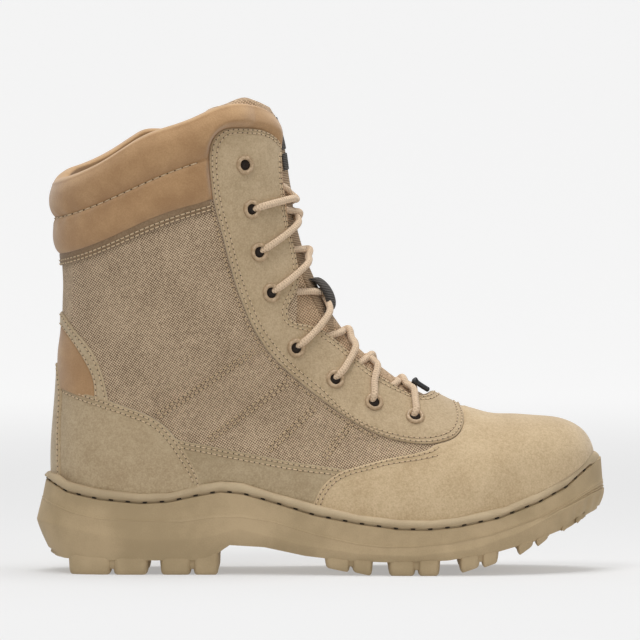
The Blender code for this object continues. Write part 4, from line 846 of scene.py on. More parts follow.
class Dye:
    """One procedural material, its pattern in Object coordinates or the piece's map."""

    def __init__(self, name: str, roughness: float = 0.85, sheen: float = 0.0,
                 specular: float = 0.3, metallic: float = 0.0) -> None:
        self.material = bpy.data.materials.new(name)
        self.material.use_nodes = True
        self.tree = self.material.node_tree
        self.shader = self.tree.nodes["Principled BSDF"]
        self.shader.inputs["Roughness"].default_value = roughness
        self.shader.inputs["Sheen Weight"].default_value = sheen
        self.shader.inputs["Sheen Roughness"].default_value = 0.6
        self.shader.inputs["Specular IOR Level"].default_value = specular
        self.shader.inputs["Metallic"].default_value = metallic

    def node(self, kind: str, settings: dict | None = None,
             values: dict | None = None) -> bpy.types.Node:
        """Any shader node.

        Args:
            kind: Node type without its prefix.
            settings: Properties that are set first.
            values: Values or wires of its sockets, by name or number.

        Returns:
            The node.
        """
        made = self.tree.nodes.new("ShaderNode" + kind)
        for key, value in (settings or {}).items():
            setattr(made, key, value)
        for key, value in (values or {}).items():
            if isinstance(value, Wire):
                self.tree.links.new(value.socket, made.inputs[key])
            else:
                made.inputs[key].default_value = value
        return made

    def wire(self, node: bpy.types.Node, output: str | int = 0) -> Wire:
        """An output of a node."""
        return Wire(self, node.outputs[output])

    def math(self, operation: str, *values: "Wire | float") -> Wire:
        """A Math node on values."""
        return self.wire(self.node("Math", {"operation": operation}, dict(enumerate(values))))

    def spot(self) -> Wire:
        """Object coordinates."""
        return self.wire(self.node("TexCoord"), "Object")

    def split(self, source: Wire) -> tuple[Wire, ...]:
        """The three parts of a vector."""
        made = self.node("SeparateXYZ", values={0: source})
        return tuple(self.wire(made, axis) for axis in range(3))

    def facing(self) -> tuple[Wire, ...]:
        """The three parts of the surface's own direction."""
        return self.split(self.wire(self.node("NewGeometry"), "Normal"))

    def map(self) -> tuple[Wire, ...]:
        """The piece's own map: along and round."""
        return self.split(self.wire(self.node("UVMap", {"uv_map": "cloth"})))[:2]

    def sine(self, value: Wire, period: float) -> Wire:
        """A wave from -1 to 1 that repeats every period."""
        return self.math("SINE", value * (2.0 * math.pi / period))

    def noise(self, size: float, detail: float) -> Wire:
        """Noise from 0 to 1 whose features are about a size in metres."""
        made = self.node("TexNoise", {"noise_dimensions": "3D"},
                         {"Vector": self.spot(), "Scale": 1.0 / size,
                          "Detail": detail, "Roughness": 0.55})
        return self.wire(made, "Fac")

    def ramp(self, value: Wire, low: float, high: float) -> Wire:
        """0 below low, 1 above high, smooth between."""
        made = self.node("MapRange", {"interpolation_type": "SMOOTHSTEP"},
                         {0: value, 1: low, 2: high})
        return self.wire(made)

    def mix(self, factor: "Wire | float", first: "Wire | tuple",
            second: "Wire | tuple") -> Wire:
        """One colour into another."""
        made = self.node("Mix", {"data_type": "RGBA"}, {0: factor, 6: first, 7: second})
        return self.wire(made, 2)

    def feed(self, name: str, value: Wire) -> None:
        """Leads a value into a socket of the shader."""
        self.tree.links.new(value.socket, self.shader.inputs[name])

    def tint(self, finish: "Finish", shade: Wire, low: float, high: float) -> None:
        """Sets the base colour: the dark tone where the shade is low, the light one where
        it is high."""
        self.feed("Base Color", self.mix(self.ramp(shade, low, high), finish.dark, finish.light))

    def bump(self, height: Wire, depth: float) -> bpy.types.Material:
        """Raises the pattern by a depth in metres and returns the material."""
        made = self.node("Bump", values={"Strength": 1.0, "Distance": depth, "Height": height})
        self.feed("Normal", self.wire(made))
        return self.material


def tone(red: float, green: float, blue: float) -> tuple:
    """Linear colour of an sRGB one from 0 to 255."""
    share = np.array([red, green, blue]) / 255.0
    linear = np.where(share > 0.04045, ((share + 0.055) / 1.055) ** 2.4, share / 12.92)
    return (*[float(c) for c in linear], 1.0)


@dataclass(frozen=True)
class Finish:
    """What every finish has: a name and the two tones that its pattern runs between."""

    name: str
    light: tuple
    dark: tuple


@dataclass(frozen=True)
class Suede(Finish):
    """Napped leather: cloudy nap, fine fibres and darker hollows."""

    nap: float = 0.016
    fibre: float = 0.0009
    depth: float = 0.00022

    def dress(self) -> bpy.types.Material:
        """The material."""
        dye = Dye(self.name, 0.95, 0.25, 0.15)
        cloud = dye.noise(self.nap, 3.0)
        fine = dye.noise(self.fibre, 3.0)
        pepper = dye.noise(self.fibre * 2.4, 2.0)
        shade = dye.ramp(cloud * 0.34 + fine * 0.52 + pepper * 0.26, 0.34, 0.78)
        base = dye.mix(shade, self.dark, self.light)
        fleck = dye.ramp(pepper, 0.62, 0.78)
        dye.feed("Base Color", dye.mix(fleck * 0.1, base, tone(120, 98, 68)))
        dye.feed("Roughness", 0.88 + fine * 0.1)
        return dye.bump(fine * 0.8 + pepper * 0.3 + cloud * 0.3, self.depth)


@dataclass(frozen=True)
class Nylon(Finish):
    """Coarse basket weave: two crossed waves of yarn and a speckle of light threads."""

    yarn: float = 0.0016
    depth: float = 0.00045

    def dress(self) -> bpy.types.Material:
        """The material. Where the cloth faces fore or aft, Y stands in for X."""
        dye = Dye(self.name, 0.8, 0.12, 0.25)
        x, y, z = dye.split(dye.spot())
        turned = dye.ramp(dye.math("ABSOLUTE", dye.facing()[1]), 0.45, 0.62)
        across = x * turned + y * (1.0 - turned)
        warp = dye.sine(across + z * 0.22, self.yarn)
        weft = dye.sine(z - across * 0.22, self.yarn)
        knit = warp * weft * 0.5 + 0.5
        fine = dye.noise(0.0005, 2.0)
        speckle = dye.noise(0.0013, 1.0)
        cloud = dye.noise(0.02, 2.0)
        dye.tint(self, knit * 0.80 + speckle * 0.50 + fine * 0.15 + cloud * 0.25, 0.50, 1.18)
        return dye.bump(knit + fine * 0.3, self.depth)


@dataclass(frozen=True)
class Webbing(Finish):
    """Ribbed narrow cloth with its ribs level across the boot."""

    rib: float = 0.0012

    def dress(self) -> bpy.types.Material:
        """The material."""
        dye = Dye(self.name, 0.85, 0.1, 0.2)
        x, y, z = dye.split(dye.spot())
        ribs = dye.sine(z * 0.97 + x * 0.22, self.rib) * 0.5 + 0.5
        cross = dye.sine(y, self.rib * 0.9) * 0.5 + 0.5
        dye.tint(self, ribs * 0.55 + cross * 0.2 + dye.noise(0.0006, 2.0) * 0.4, 0.2, 0.95)
        return dye.bump(ribs + cross * 0.4, 0.0003)


@dataclass(frozen=True)
class Nubuck(Finish):
    """Smooth buffed leather, with painted light on top: paler where it faces up."""

    def dress(self) -> bpy.types.Material:
        """The material."""
        dye = Dye(self.name, 0.9, 0.35, 0.15)
        cloud = dye.noise(0.014, 3.0)
        fine = dye.noise(0.0008, 3.0)
        # Painted light: the colour pales where the surface faces up, as if lit from above.
        painted_top_light = dye.ramp(dye.facing()[2], 0.1, 0.95)
        dye.tint(self, cloud * 0.7 + fine * 0.45 + painted_top_light * 0.35, 0.35, 1.05)
        return dye.bump(fine + cloud * 0.6, 0.00012)


@dataclass(frozen=True)
class Rubber(Finish):
    """Moulded rubber: even colour, a faint grain, and dust low down."""

    def dress(self) -> bpy.types.Material:
        """The material."""
        dye = Dye(self.name, 0.62, 0.0, 0.35)
        cloud = dye.noise(0.03, 3.0)
        grain = dye.noise(0.0007, 2.0)
        low = 1.0 - dye.ramp(dye.split(dye.spot())[2], 0.004, 0.016)
        base = dye.mix(dye.ramp(cloud + grain * 0.25, 0.45, 0.85), self.dark, self.light)
        dye.feed("Base Color", dye.mix(low * 0.35 * cloud, base, tone(190, 172, 140)))
        dye.feed("Roughness", 0.55 + cloud * 0.2 + low * 0.15)
        return dye.bump(grain, 0.00006)


@dataclass(frozen=True)
class Braid(Finish):
    """Round braided lace: two families of strands that cross round the cord."""

    strand: float = 0.0014

    def dress(self) -> bpy.types.Material:
        """The material, on the cord's own map."""
        dye = Dye(self.name, 0.8, 0.2, 0.2)
        along, turn = dye.map()
        lean = turn * (2.0 * math.pi * 3.0)
        run = along * (2.0 * math.pi / self.strand)
        strands = dye.math("MAXIMUM", dye.math("SINE", run + lean), dye.math("SINE", run - lean))
        dye.tint(self, strands * 0.22 + dye.noise(0.0004, 2.0) * 0.55 + 0.3, 0.1, 0.9)
        return dye.bump(strands, 0.00014)


@dataclass(frozen=True)
class Yarn(Finish):
    """Sewing thread, with painted shade darkening each stitch where it goes into its hole."""

    def dress(self) -> bpy.types.Material:
        """The material, on the stitch's own map."""
        dye = Dye(self.name, 0.7, 0.1, 0.3)
        along, turn = dye.map()
        # Painted shade: each stitch darkens to a near-black brown towards its ends, where it goes
        # into its hole.
        inner = dye.ramp(dye.math("ABSOLUTE", along - 0.5), 0.30, 0.38)
        twist = dye.sine(along * 3.0 + turn, 1.0) * 0.5 + 0.5
        base = dye.mix(twist * 0.35, self.light, self.dark)
        dye.feed("Base Color", dye.mix(inner, base, tone(62, 46, 28)))
        return dye.bump(twist, 0.0001)


@dataclass(frozen=True)
class Hard(Finish):
    """Coated metal or plastic with worn, paler spots."""

    roughness: float = 0.45
    metallic: float = 0.0

    def dress(self) -> bpy.types.Material:
        """The material."""
        dye = Dye(self.name, self.roughness, 0.0, 0.5, self.metallic)
        worn = dye.noise(0.002, 3.0)
        dye.tint(self, worn, 0.35, 0.7)
        dye.feed("Roughness", self.roughness - 0.1 + worn * 0.2)
        return dye.bump(dye.noise(0.0005, 2.0), 0.00003)


@dataclass
class Wardrobe:
    """Every finish, made once."""

    made: dict = field(default_factory=dict)

    def get(self, finish: Finish) -> bpy.types.Material:
        """The material of a finish."""
        if finish.name not in self.made:
            self.made[finish.name] = finish.dress()
        return self.made[finish.name]


VAMP_SUEDE = Suede("vamp_suede", tone(208, 185, 149), tone(178, 153, 117))
STAY_SUEDE = Suede("eyestay_suede", tone(194, 172, 140), tone(164, 142, 109))
HEEL_SUEDE = Suede("heel_suede", tone(190, 170, 138), tone(160, 138, 106))
BAND_SUEDE = Suede("band_suede", tone(183, 164, 133), tone(154, 134, 103))
TRIM_SUEDE = Suede("trim_suede", tone(196, 176, 146), tone(168, 147, 115))
COLLAR_NUBUCK = Nubuck("collar_nubuck", tone(192, 155, 112), tone(158, 121, 82))
QUARTER_NYLON = Nylon("quarter_nylon", tone(220, 194, 162), tone(100, 78, 54))
BINDING_CLOTH = Suede("binding_cloth", tone(150, 126, 98), tone(122, 98, 72))
TONGUE_CLOTH = Nylon("tongue_cloth", tone(214, 184, 150), tone(134, 108, 80), 0.0017, 0.0003)
DARK_WEBBING = Webbing("dark_webbing", tone(82, 76, 70), tone(48, 44, 40))
PALE_WEBBING = Webbing("pale_webbing", tone(186, 160, 130), tone(134, 110, 84))
ZIP_CLOTH = Webbing("zip_cloth", tone(150, 126, 98), tone(108, 88, 66), 0.001)
SOLE_RUBBER = Rubber("sole_rubber", tone(186, 163, 128), tone(166, 145, 111))
WELT_RUBBER = Rubber("welt_rubber", tone(190, 170, 138), tone(172, 152, 121))
LACE_BRAID = Braid("lace_braid", tone(224, 198, 168), tone(184, 156, 124))
SEWING = Yarn("sewing_thread", tone(212, 188, 154), tone(168, 143, 110))
DARK_SEWING = Yarn("quarter_thread", tone(206, 180, 144), tone(140, 114, 82))
EYELET_COAT = Hard("eyelet_coat", tone(192, 166, 134), tone(164, 138, 106), 0.40)
# Painted shade: a near-black for the insides of eyelet bores and of the welt channel.
HOLE_SHADE = Hard("hole_shade", tone(38, 25, 14), tone(26, 17, 10), 0.9)
ZIP_METAL = Hard("zip_metal", tone(132, 116, 92), tone(104, 90, 70), 0.4, 0.3)
ZIP_COIL = Hard("zip_coil_plastic", tone(150, 130, 100), tone(118, 100, 74), 0.5)
BLACK_TAG = Hard("black_tag_plastic", tone(44, 44, 46), tone(28, 28, 30), 0.4)
INSOLE_CLOTH = Nylon("insole_cloth", tone(120, 104, 82), tone(82, 68, 50), 0.0012, 0.0002)


class Workshop:
    """Dresses finished pieces and hands them to the frame."""

    def __init__(self) -> None:
        self.wardrobe = Wardrobe()

    def hand_in(self, piece: bpy.types.Object, finish: Finish, slot: str,
                nodes: tuple[str, ...] = (), body: str = "boot") -> None:
        """Gives a piece its finish, its body and the nodes that it stands for.

        Args:
            piece: The finished object.
            finish: One of the finishes.
            slot: Not used.
            nodes: Nodes that it replaces.
            body: The body that it rides on.
        """
        piece.data.materials.append(self.wardrobe.get(finish))
        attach(piece, body)
        if nodes:
            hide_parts(*nodes)
        LOG.info("%s: %d faces", piece.name, len(piece.data.polygons))


@dataclass
class Upper:
    """The wall and every panel sewn on it."""

    shop: Workshop
    low: float = 0.0003
    suede: float = 0.0014
    facing: float = 0.0015
    band: float = 0.0007
    patch: float = 0.0006
    thin: float = 0.0010
    roll: float = 0.0010
    thin_roll: float = 0.0008
    seam: float = 0.0015
    second_seam: float = 0.0040
    strip_seam: float = 0.0013
    stay_seam: float = 0.0014
    binding_seams: tuple[float, ...] = (0.0010, 0.0030, 0.0052)
    tuck: float = 0.0006
    padding: float = 0.0014
    quilt_half: float = 0.0012
    rows: list = field(default_factory=list)

    def wall(self) -> None:
        """Woven wall, a tube of closed sections from the opening down to the cup."""
        top = LAST.all_round(OPENING, 200)[:-1]
        foot = LAST.all_round(FLOOR, 200)[:-1]
        share = np.linspace(0.0, 1.0, 130)[None, :, None]
        path = blend(top[:, None], foot[:, None], share)
        rise = LAST.relief(LAST.at(path)) - self._tuck(path)
        outer = LAST.at(path, rise)
        inner = LAST.at(path[:, ::-3], rise[:, ::-3] - WALL)
        made = to_mesh("upper_wall", np.concatenate([outer, inner], axis=1), closed=True)
        self.shop.hand_in(made, QUARTER_NYLON, "nylon", ("upper",))

    def _tuck(self, path: np.ndarray) -> np.ndarray:
        """Sinks the cloth a little under the lower panels, so that no weave shows through."""
        points = LAST.at(path)
        return self.tuck * ease((points[..., 0] - side_x(0.72)) / 0.02)

    @property
    def pair(self) -> tuple[float, float]:
        """Distances of the usual double row from an edge."""
        return self.seam, self.second_seam

    def eyestay(self) -> None:
        """Facing of both sides, joined in front of the throat."""
        outer = LAST.over_crest(STAY_OUT, 230)
        inner = LAST.over_crest(STAY_IN, 230)
        count = min(len(outer), len(inner))
        stay = Panel("eyestay_panel", outer[:count], inner[:count], self.low,
                     self.low + self.facing, 16, self.roll, self.pair, (self.seam,))
        self._sewn(stay, STAY_SUEDE, "suede_eyestay", "eyestay", self.pair, self.pair)

    def _sewn(self, panel: Panel, finish: Finish, slot: str, node: str,
              first: tuple[float, ...] = (), second: tuple[float, ...] = ()) -> None:
        """Builds a panel and notes the stitch rows at distances from its two edges."""
        self.shop.hand_in(panel.build(), finish, slot, (node,))
        self.rows += [panel.row(distance) for distance in first]
        self.rows += [panel.row(distance, True) for distance in second]

    def vamp(self) -> None:
        """Toe piece from the facing round to the feather line."""
        rear = LAST.over_crest(VAMP + STAY_OUT[23:], 150)
        front = LAST.over_crest(tuple(p for p in FEATHER if p[0] > 0.50) + ((1.02, 0.31),), 150)
        near, far = (LAST.trace((FEATHER[10], (0.492, 0.150)), side)[:1] for side in Side)
        front = LAST.even(np.concatenate([near, front, far]), len(rear))
        rear = LAST.even(rear, len(rear))

        def settle(path: np.ndarray, rise: np.ndarray) -> np.ndarray:
            """Presses the vamp's rear edge under the facing."""
            flat = LAST.at(path)[..., [0, 2]]
            gap = away(flat, self.stay_line)
            return -np.minimum(rise, 0.0014) * (1.0 - ease(gap / 0.0022)) * 0.7

        panel = Panel("vamp_panel", rear, front, self.low, self.low + self.suede, 70, self.roll,
                      self.pair, press=settle)
        self._sewn(panel, VAMP_SUEDE, "suede_vamp", "vamp")
        for distance in self.pair:
            points, normals = panel.row(distance)
            for keep in (points[:, 1] < 0.0, points[:, 1] > 0.0):
                chosen = keep & (points[:, 0] < side_x(0.706))
                self.rows.append((points[chosen], normals[chosen]))

    @property
    def stay_line(self) -> np.ndarray:
        """Outer edge of the facing beside the vamp, in the side view."""
        return smooth(STAY_OUT[21:], 0.003)

    def counter(self) -> None:
        """Heel piece round the back."""
        top = LAST.round_heel(COUNTER, 150)
        foot = LAST.round_heel(tuple(p for p in FEATHER if p[0] < 0.29) + ((0.295, 0.193),), 150)
        panel = Panel("heel_counter_panel", top, LAST.even(foot, len(top)), self.low,
                      self.low + self.suede, 40, self.roll, self.pair)
        self._sewn(panel, HEEL_SUEDE, "suede_heel", "heel_counter", self.pair)

    def bands(self) -> None:
        """Mudguard bands between the heel piece and the vamp."""
        foot_line = ((0.285, 0.188),) + FEATHER[7:11] + ((0.512, 0.143),)
        for side in Side:
            top, foot = (LAST.even(LAST.trace(line, side), 90, True)
                         for line in (MUDGUARD, foot_line))
            label = side.name.lower()
            panel = Panel(f"mudguard_{label}_band", top, foot, self.low, self.low + self.band,
                          12, self.thin_roll, self.pair)
            self._sewn(panel, BAND_SUEDE, "suede_band", f"mudguard_{label}", self.pair)

    def binding(self) -> None:
        """Sewn band under the collar."""
        top = LAST.round_heel(COLLAR, 150)
        foot = LAST.round_heel(BINDING, 150)
        panel = Panel("collar_binding", top, LAST.even(foot, len(top)), self.low,
                      self.low + self.thin, 6, 0.0007, (), (0.0014, 0.0036))
        self._sewn(panel, BINDING_CLOTH, "nubuck", "collar_band", (), self.binding_seams)

    def heel_pieces(self) -> None:
        """Nubuck triangle, its pale strip and the backstay."""
        outside = LAST.round_heel(TRIM_OUT, 90)
        inside = LAST.round_heel(TRIM_IN, 90)
        strip = Panel("heel_trim_strip", outside, inside, self.low, self.low + self.thin, 6,
                      self.thin_roll, (0.0012,), (0.0012,))
        seams = (self.strip_seam,)
        self._sewn(strip, TRIM_SUEDE, "suede_trim", "heel_trim", seams, seams)
        foot = LAST.round_heel(((0.002, 0.400), (0.026, 0.399), (0.048, 0.397), (0.076, 0.385),
                                (0.108, 0.372)), 90)

        def puff(path: np.ndarray, rise: np.ndarray) -> np.ndarray:
            """Padding that fills the middle of the patch."""
            gap = away(LAST.at(path)[..., [0, 2]], smooth(TRIM_IN, 0.003))
            return self.padding * ease(gap / 0.010)

        patch = Panel("heel_patch_panel", LAST.even(inside, len(foot)), foot, self.low,
                      self.low + self.patch, 16, self.thin_roll, press=puff)
        self._sewn(patch, COLLAR_NUBUCK, "nubuck", "heel_patch")
        near, far = (LAST.even(LAST.trace(BACKSTAY, side), 110, True) for side in Side)
        seams = (self.stay_seam,)
        stay = Panel("backstay_strip", near, far - np.array([0.0, FULL_TURN]), self.low + 0.0010,
                     self.low + 0.0026, 8, 0.0009, seams, seams)
        self._sewn(stay, HEEL_SUEDE, "suede_heel", "backstay", seams, seams)

    def quilting(self) -> list:
        """Double rows across the quarter, and the row beside the facing."""
        rows = []
        for side in Side:
            for low, high in QUILTS:
                for shift in (-self.quilt_half, self.quilt_half):
                    ends = side_points((low, high))
                    way = ends[1] - ends[0]
                    normal = np.array([-way[1], way[0]]) / np.linalg.norm(way)
                    share = np.linspace(0.0, 1.0, 60)[:, None]
                    path, _ = LAST.locate(ends[0] + way * share + normal * shift, side)
                    rows.append(self._on_wall(path))
            beside = smooth(STAY_OUT[8:21], 0.002)
            way = unit(np.gradient(beside, axis=0))
            outward = beside + 0.0016 * np.stack([way[:, 1], -way[:, 0]], axis=1)
            path, miss = LAST.locate(outward, side)
            rows.append(self._on_wall(path[miss < 0.0002]))
        return rows

    def _on_wall(self, path: np.ndarray) -> tuple[np.ndarray, np.ndarray]:
        """Points and normals on the woven wall."""
        return LAST.at(path, LAST.relief(LAST.at(path)) + 0.0001), LAST.facing(path)

    def stitches(self) -> None:
        """All sewn rows of the panels and of the quarter."""
        half = len(self.rows) // 2
        for number, rows in enumerate((self.rows[:half], self.rows[half:])):
            made = Thread().sew(f"panel_stitches_{number + 1}", rows)
            self.shop.hand_in(made, SEWING, "suede_eyestay")
        made = Thread(pitch=0.0028).sew("quarter_stitches", self.quilting())
        self.shop.hand_in(made, DARK_SEWING, "nylon")

    def build(self) -> None:
        """Every piece in order."""
        self.wall()
        self.bands()
        self.binding()
        self.heel_pieces()
        self.counter()
        self.vamp()
        self.eyestay()
        self.stitches()


@dataclass
class Collar:
    """Padded cuff of two rolls, wrapped over the top edge."""

    shop: Workshop
    points: int = 56
    crown: float = 0.0024
    sunk: float = 0.0004
    lift: float = 0.0033
    far_lift: float = 0.0050
    lining: float = 0.0058
    seam_share: float = 0.47
    hump_at: float = 0.19
    hump_width: float = 0.055
    pucker: float = 0.00030
    pleat: float = 0.0052
    swell: float = 0.00045
    ripple: float = 0.00030
    flattest: float = 0.00025
    # Share of the way up, offset in metres
    roll: Line = (
        (-0.02, 0.0004), (0.03, 0.0024), (0.10, 0.0040), (0.22, 0.0050), (0.36, 0.0043),
        (0.44, 0.0030), (0.47, 0.0022), (0.50, 0.0030), (0.58, 0.0052), (0.74, 0.0068),
        (0.90, 0.0060), (1.00, 0.0042))

    def _press(self, flat: np.ndarray, side: np.ndarray) -> np.ndarray:
        """Share of its fullness left where the facing or the zip holds the roll down."""
        ring = np.concatenate([smooth(STAY_OUT, 0.003), smooth(STAY_IN, 0.003)[::-1]])
        gap = away(flat, smooth(STAY_OUT[:12], 0.003))
        held = np.where(within(flat, ring), 0.0, ease(gap / 0.0038 + 0.15))
        zip_gap = away(flat, smooth(ZIP_LINE, 0.004))
        zipped = np.where(side > 0, ease((zip_gap - 0.0045) / 0.006), 1.0)
        low_front = ease((side_x(0.410) - flat[..., 0]) / 0.020)
        high = ease((flat[..., 1] / HEIGHT - 0.88) / 0.07)
        back = 1.0 - 0.38 * ease((side_x(0.070) - flat[..., 0]) / 0.015)
        return back * held * (0.16 + 0.84 * zipped) * np.maximum(low_front, 0.12 + 0.38 * high)

    def _raised(self, rim: np.ndarray) -> np.ndarray:
        """Rise of the edge over the opening's line: a hump beside the zip, and a medial edge
        that stands a little over the lateral one."""
        share = rim[:, 0] / LENGTH + 0.5
        hump = self.lift * np.exp(-((share - self.hump_at) / self.hump_width) ** 2)
        far = ease((rim[:, 1] - swing(rim[:, 0])) / 0.012) * ease((0.235 - share) / 0.06)
        return hump + self.far_lift * far * ease((share - 0.02) / 0.04)

    def build(self) -> None:
        """The cuff: rings of one rolled section carried from lateral to medial front."""
        top = LAST.round_heel(CUFF_TOP, 170, True)
        low = LAST.even(LAST.round_heel(CUFF_LOW, 170), len(top))
        width = widths(top, low)
        table = np.asarray(self.roll)
        up = np.linspace(table[0, 0], 1.0, self.points)
        rise = spline(table[:, 0], table[:, 1], up)
        turn = np.linspace(0.0, math.pi, 14)[1:-1]
        half = (rise[-1] + self.lining) / 2.0
        crown_rise = self.crown * np.sin(turn)
        crown_off = (rise[-1] - self.lining) / 2.0 + half * np.cos(turn)
        inner_up = np.linspace(1.0, 0.12, 14)
        inner = -self.lining + 0.0020 * ease((0.30 - inner_up) / 0.3)
        share = np.concatenate([1.0 - up, np.zeros(len(turn)), 1.0 - inner_up])
        extra = np.concatenate([np.zeros(len(up)), -crown_rise, np.zeros(len(inner_up))])
        offset = np.concatenate([rise, crown_off, inner])
        rim = LAST.at(top)
        front = ease((side_x(0.405) - rim[:, 0]) / 0.005)
        high = ease((rim[:, 2] / HEIGHT - 0.88) / 0.07)
        crown = np.maximum(front, 0.15 + 0.85 * high)[:, None]
        near_top = np.clip(1.0 - share * 3.0, 0.0, 1.0)[None]
        raised = self._raised(rim)[:, None] - self.sunk * crown
        across = share[None] + (extra[None] * crown - raised * near_top) / width[:, None]
        path = blend(top[:, None], low[:, None], across[..., None])
        face = LAST.at(path)
        press = self._press(face[..., [0, 2]], face[..., 1] - swing(face[..., 0]))
        along = lengths(face[:, 10])[:, None]
        near_seam = np.exp(-((1.0 - share - self.seam_share) / 0.10) ** 2)[None]
        pucker = self.pucker * np.sin(along / self.pleat * 2.0 * math.pi / 1.7) * near_seam
        swell = (self.swell * np.sin(along / 0.031 + 3.0 * share[None])
                 + self.ripple * np.sin(along / 0.013 + 1.0))
        outside = (offset > 0.0)[None]
        full = np.where(outside, offset[None] + pucker + swell * np.clip(share * 3.0, 0, 1)[None],
                        offset[None])
        full = np.where(outside, self.flattest + (full - self.flattest) * press, full)
        made = to_mesh("collar_roll", LAST.at(path, full))
        self.shop.hand_in(made, COLLAR_NUBUCK, "nubuck", ("collar",))
        index = int(np.argmin(np.abs(up - self.seam_share)))
        seam = LAST.at(path[:, index], full[:, index])
        normal = LAST.facing(path[:, index])
        share, near = seam[:, 0] / LENGTH + 0.5, seam[:, 1] < 0.0
        rear = np.where(near, share < 0.286, share < 0.186)
        front = ~near & (share > 0.238) & (share < 0.286)
        rows = [(seam[keep], normal[keep]) for keep in (rear, front)]
        made = Thread(pitch=0.0042, rise=0.00032).sew("collar_stitches", rows)
        self.shop.hand_in(made, SEWING, "nubuck")


@dataclass
class Tongue:
    """Padded tongue, its plain webbing and the lace keeper."""

    shop: Workshop
    depth: float = 0.0047
    thick: float = 0.0042
    swell: float = 0.0017
    rim: float = 0.0035
    ripple: float = 0.00025
    instep: float = 0.0016
    keeper_half: float = 0.0088
    keeper_arch: float = 0.0058
    keeper_skin: float = 0.0007

    def _bulge(self, path: np.ndarray, rise: np.ndarray | None = None) -> np.ndarray:
        """Forward swell along the crest of the pad, above the laced part."""
        high = ease((LAST.at(path)[..., 2] / HEIGHT - 0.76) / 0.08)
        return self.swell * high * np.exp(-((path[..., 1] - HALF_TURN) / 1.6) ** 2)

    def _pad(self) -> None:
        """The pad: a crowned closed form whose face swells between its edges."""
        top = LAST.over_crest(TONGUE_EDGE, 90)
        foot = LAST.even(LAST.over_crest(TONGUE_BACK, 90), len(top))
        share = np.concatenate([np.linspace(0.0, 0.06, 7), np.linspace(0.07, 0.97, 80),
                                np.linspace(0.98, 1.0, 4)])
        path = blend(top[:, None], foot[:, None], share[None, :, None])
        width = widths(top, foot)
        edge = np.minimum(share[None], 1.0 - share[None]) * width[:, None]
        round_ = np.sqrt(1.0 - (1.0 - np.clip(edge / self.rim, 0.0, 1.0)) ** 2)
        points = LAST.at(path)
        ripple = self.ripple * np.sin(points[..., 2] / 0.0065) * ease(edge / 0.01)
        instep = ease((points[..., 0] - side_x(0.50)) / 0.03) * ease(edge / 0.006)
        middle = -self.depth - self.thick / 2.0
        outer = middle + self.thick / 2.0 * round_ + ripple + self.instep * instep
        outer = outer + self._bulge(path) * round_
        inner = middle - self.thick / 2.0 * round_
        back = LAST.at(path[:, -2:0:-1], inner[:, -2:0:-1])
        made = to_mesh("tongue_pad", np.concatenate([LAST.at(path, outer), back], axis=1))
        self.shop.hand_in(made, TONGUE_CLOTH, "tongue_cloth", ("tongue",))

    @staticmethod
    def _crest_at(share: float, height: float, run: float, climb: float) -> np.ndarray:
        """Place on the crest that a short side-view line through a point crosses."""
        line = ((share - run, height - climb), (share + run, height + climb))
        return LAST.meet(smooth(line), HALF_TURN)

    @staticmethod
    def _columns(middle: np.ndarray, half: float) -> np.ndarray:
        """Columns that a half width takes up beside a line on the form."""
        step = np.array([[0.0, 0.5]])
        return half / np.linalg.norm(LAST.at(middle + step) - LAST.at(middle - step), axis=1)

    def _strip(self, name: str, line: Line, half: float, low: float, high: float,
               finish: Finish, slot: str, nodes: tuple[str, ...] = ()) -> None:
        """A strip of webbing down the crest: a band of equal width over the tongue."""
        start, end = (self._crest_at(u, v, 0.06, 0.01) for u, v in line)
        middle = blend(start, end, np.linspace(0.0, 1.0, 60)[:, None])
        lean = np.stack([np.zeros(len(middle)), self._columns(middle, half)], axis=1)
        panel = Panel(name, middle - lean, middle + lean, low, high, 10, 0.0004, creased=False,
                      press=self._bulge)
        self.shop.hand_in(panel.build(), finish, slot, nodes)

    def _keeper(self) -> None:
        """Loop of webbing that stands off the tongue: a flat strip along an arch."""
        start, end = (self._crest_at(u, v, 0.05, 0.03) for u, v in KEEPER)
        share = np.linspace(0.0, 1.0, 40)
        middle = blend(start, end, share[:, None])
        arch = -self.depth + 0.0004 + self.keeper_arch * np.sin(share * math.pi) ** 0.45
        half = self._columns(middle, self.keeper_half)[:, None]
        across = np.linspace(-1.0, 1.0, 9)[None] * half
        wide = np.stack([np.broadcast_to(middle[:, :1], across.shape),
                         middle[:, 1:] + across], axis=-1)
        level_out = np.broadcast_to(arch[:, None], across.shape)
        grid = np.concatenate([LAST.at(wide, level_out + self.keeper_skin),
                               LAST.at(wide[:, ::-1], level_out - self.keeper_skin)], axis=1)
        self.shop.hand_in(to_mesh("keeper_loop", grid), DARK_WEBBING, "dark_webbing",
                          ("tongue_loop",))

    def build(self) -> None:
        """The pad and what is sewn to it."""
        self._pad()
        face = -self.depth
        self._strip("tongue_tape", ((0.425, 1.000), (0.655, 0.410)), 0.0110, face - 0.0002,
                    face + 0.0007, PALE_WEBBING, "tongue_cloth")
        self._strip("tongue_webbing", ((0.428, 0.985), (0.444, 0.915)), 0.0090, face + 0.0006,
                    face + 0.0014, DARK_WEBBING, "dark_webbing", ("tongue_label",))
        self._strip("tongue_webbing_low", ((0.445, 0.908), (0.448, 0.870)), 0.0090,
                    face + 0.0006, face + 0.0014, DARK_WEBBING, "dark_webbing")
        self._keeper()


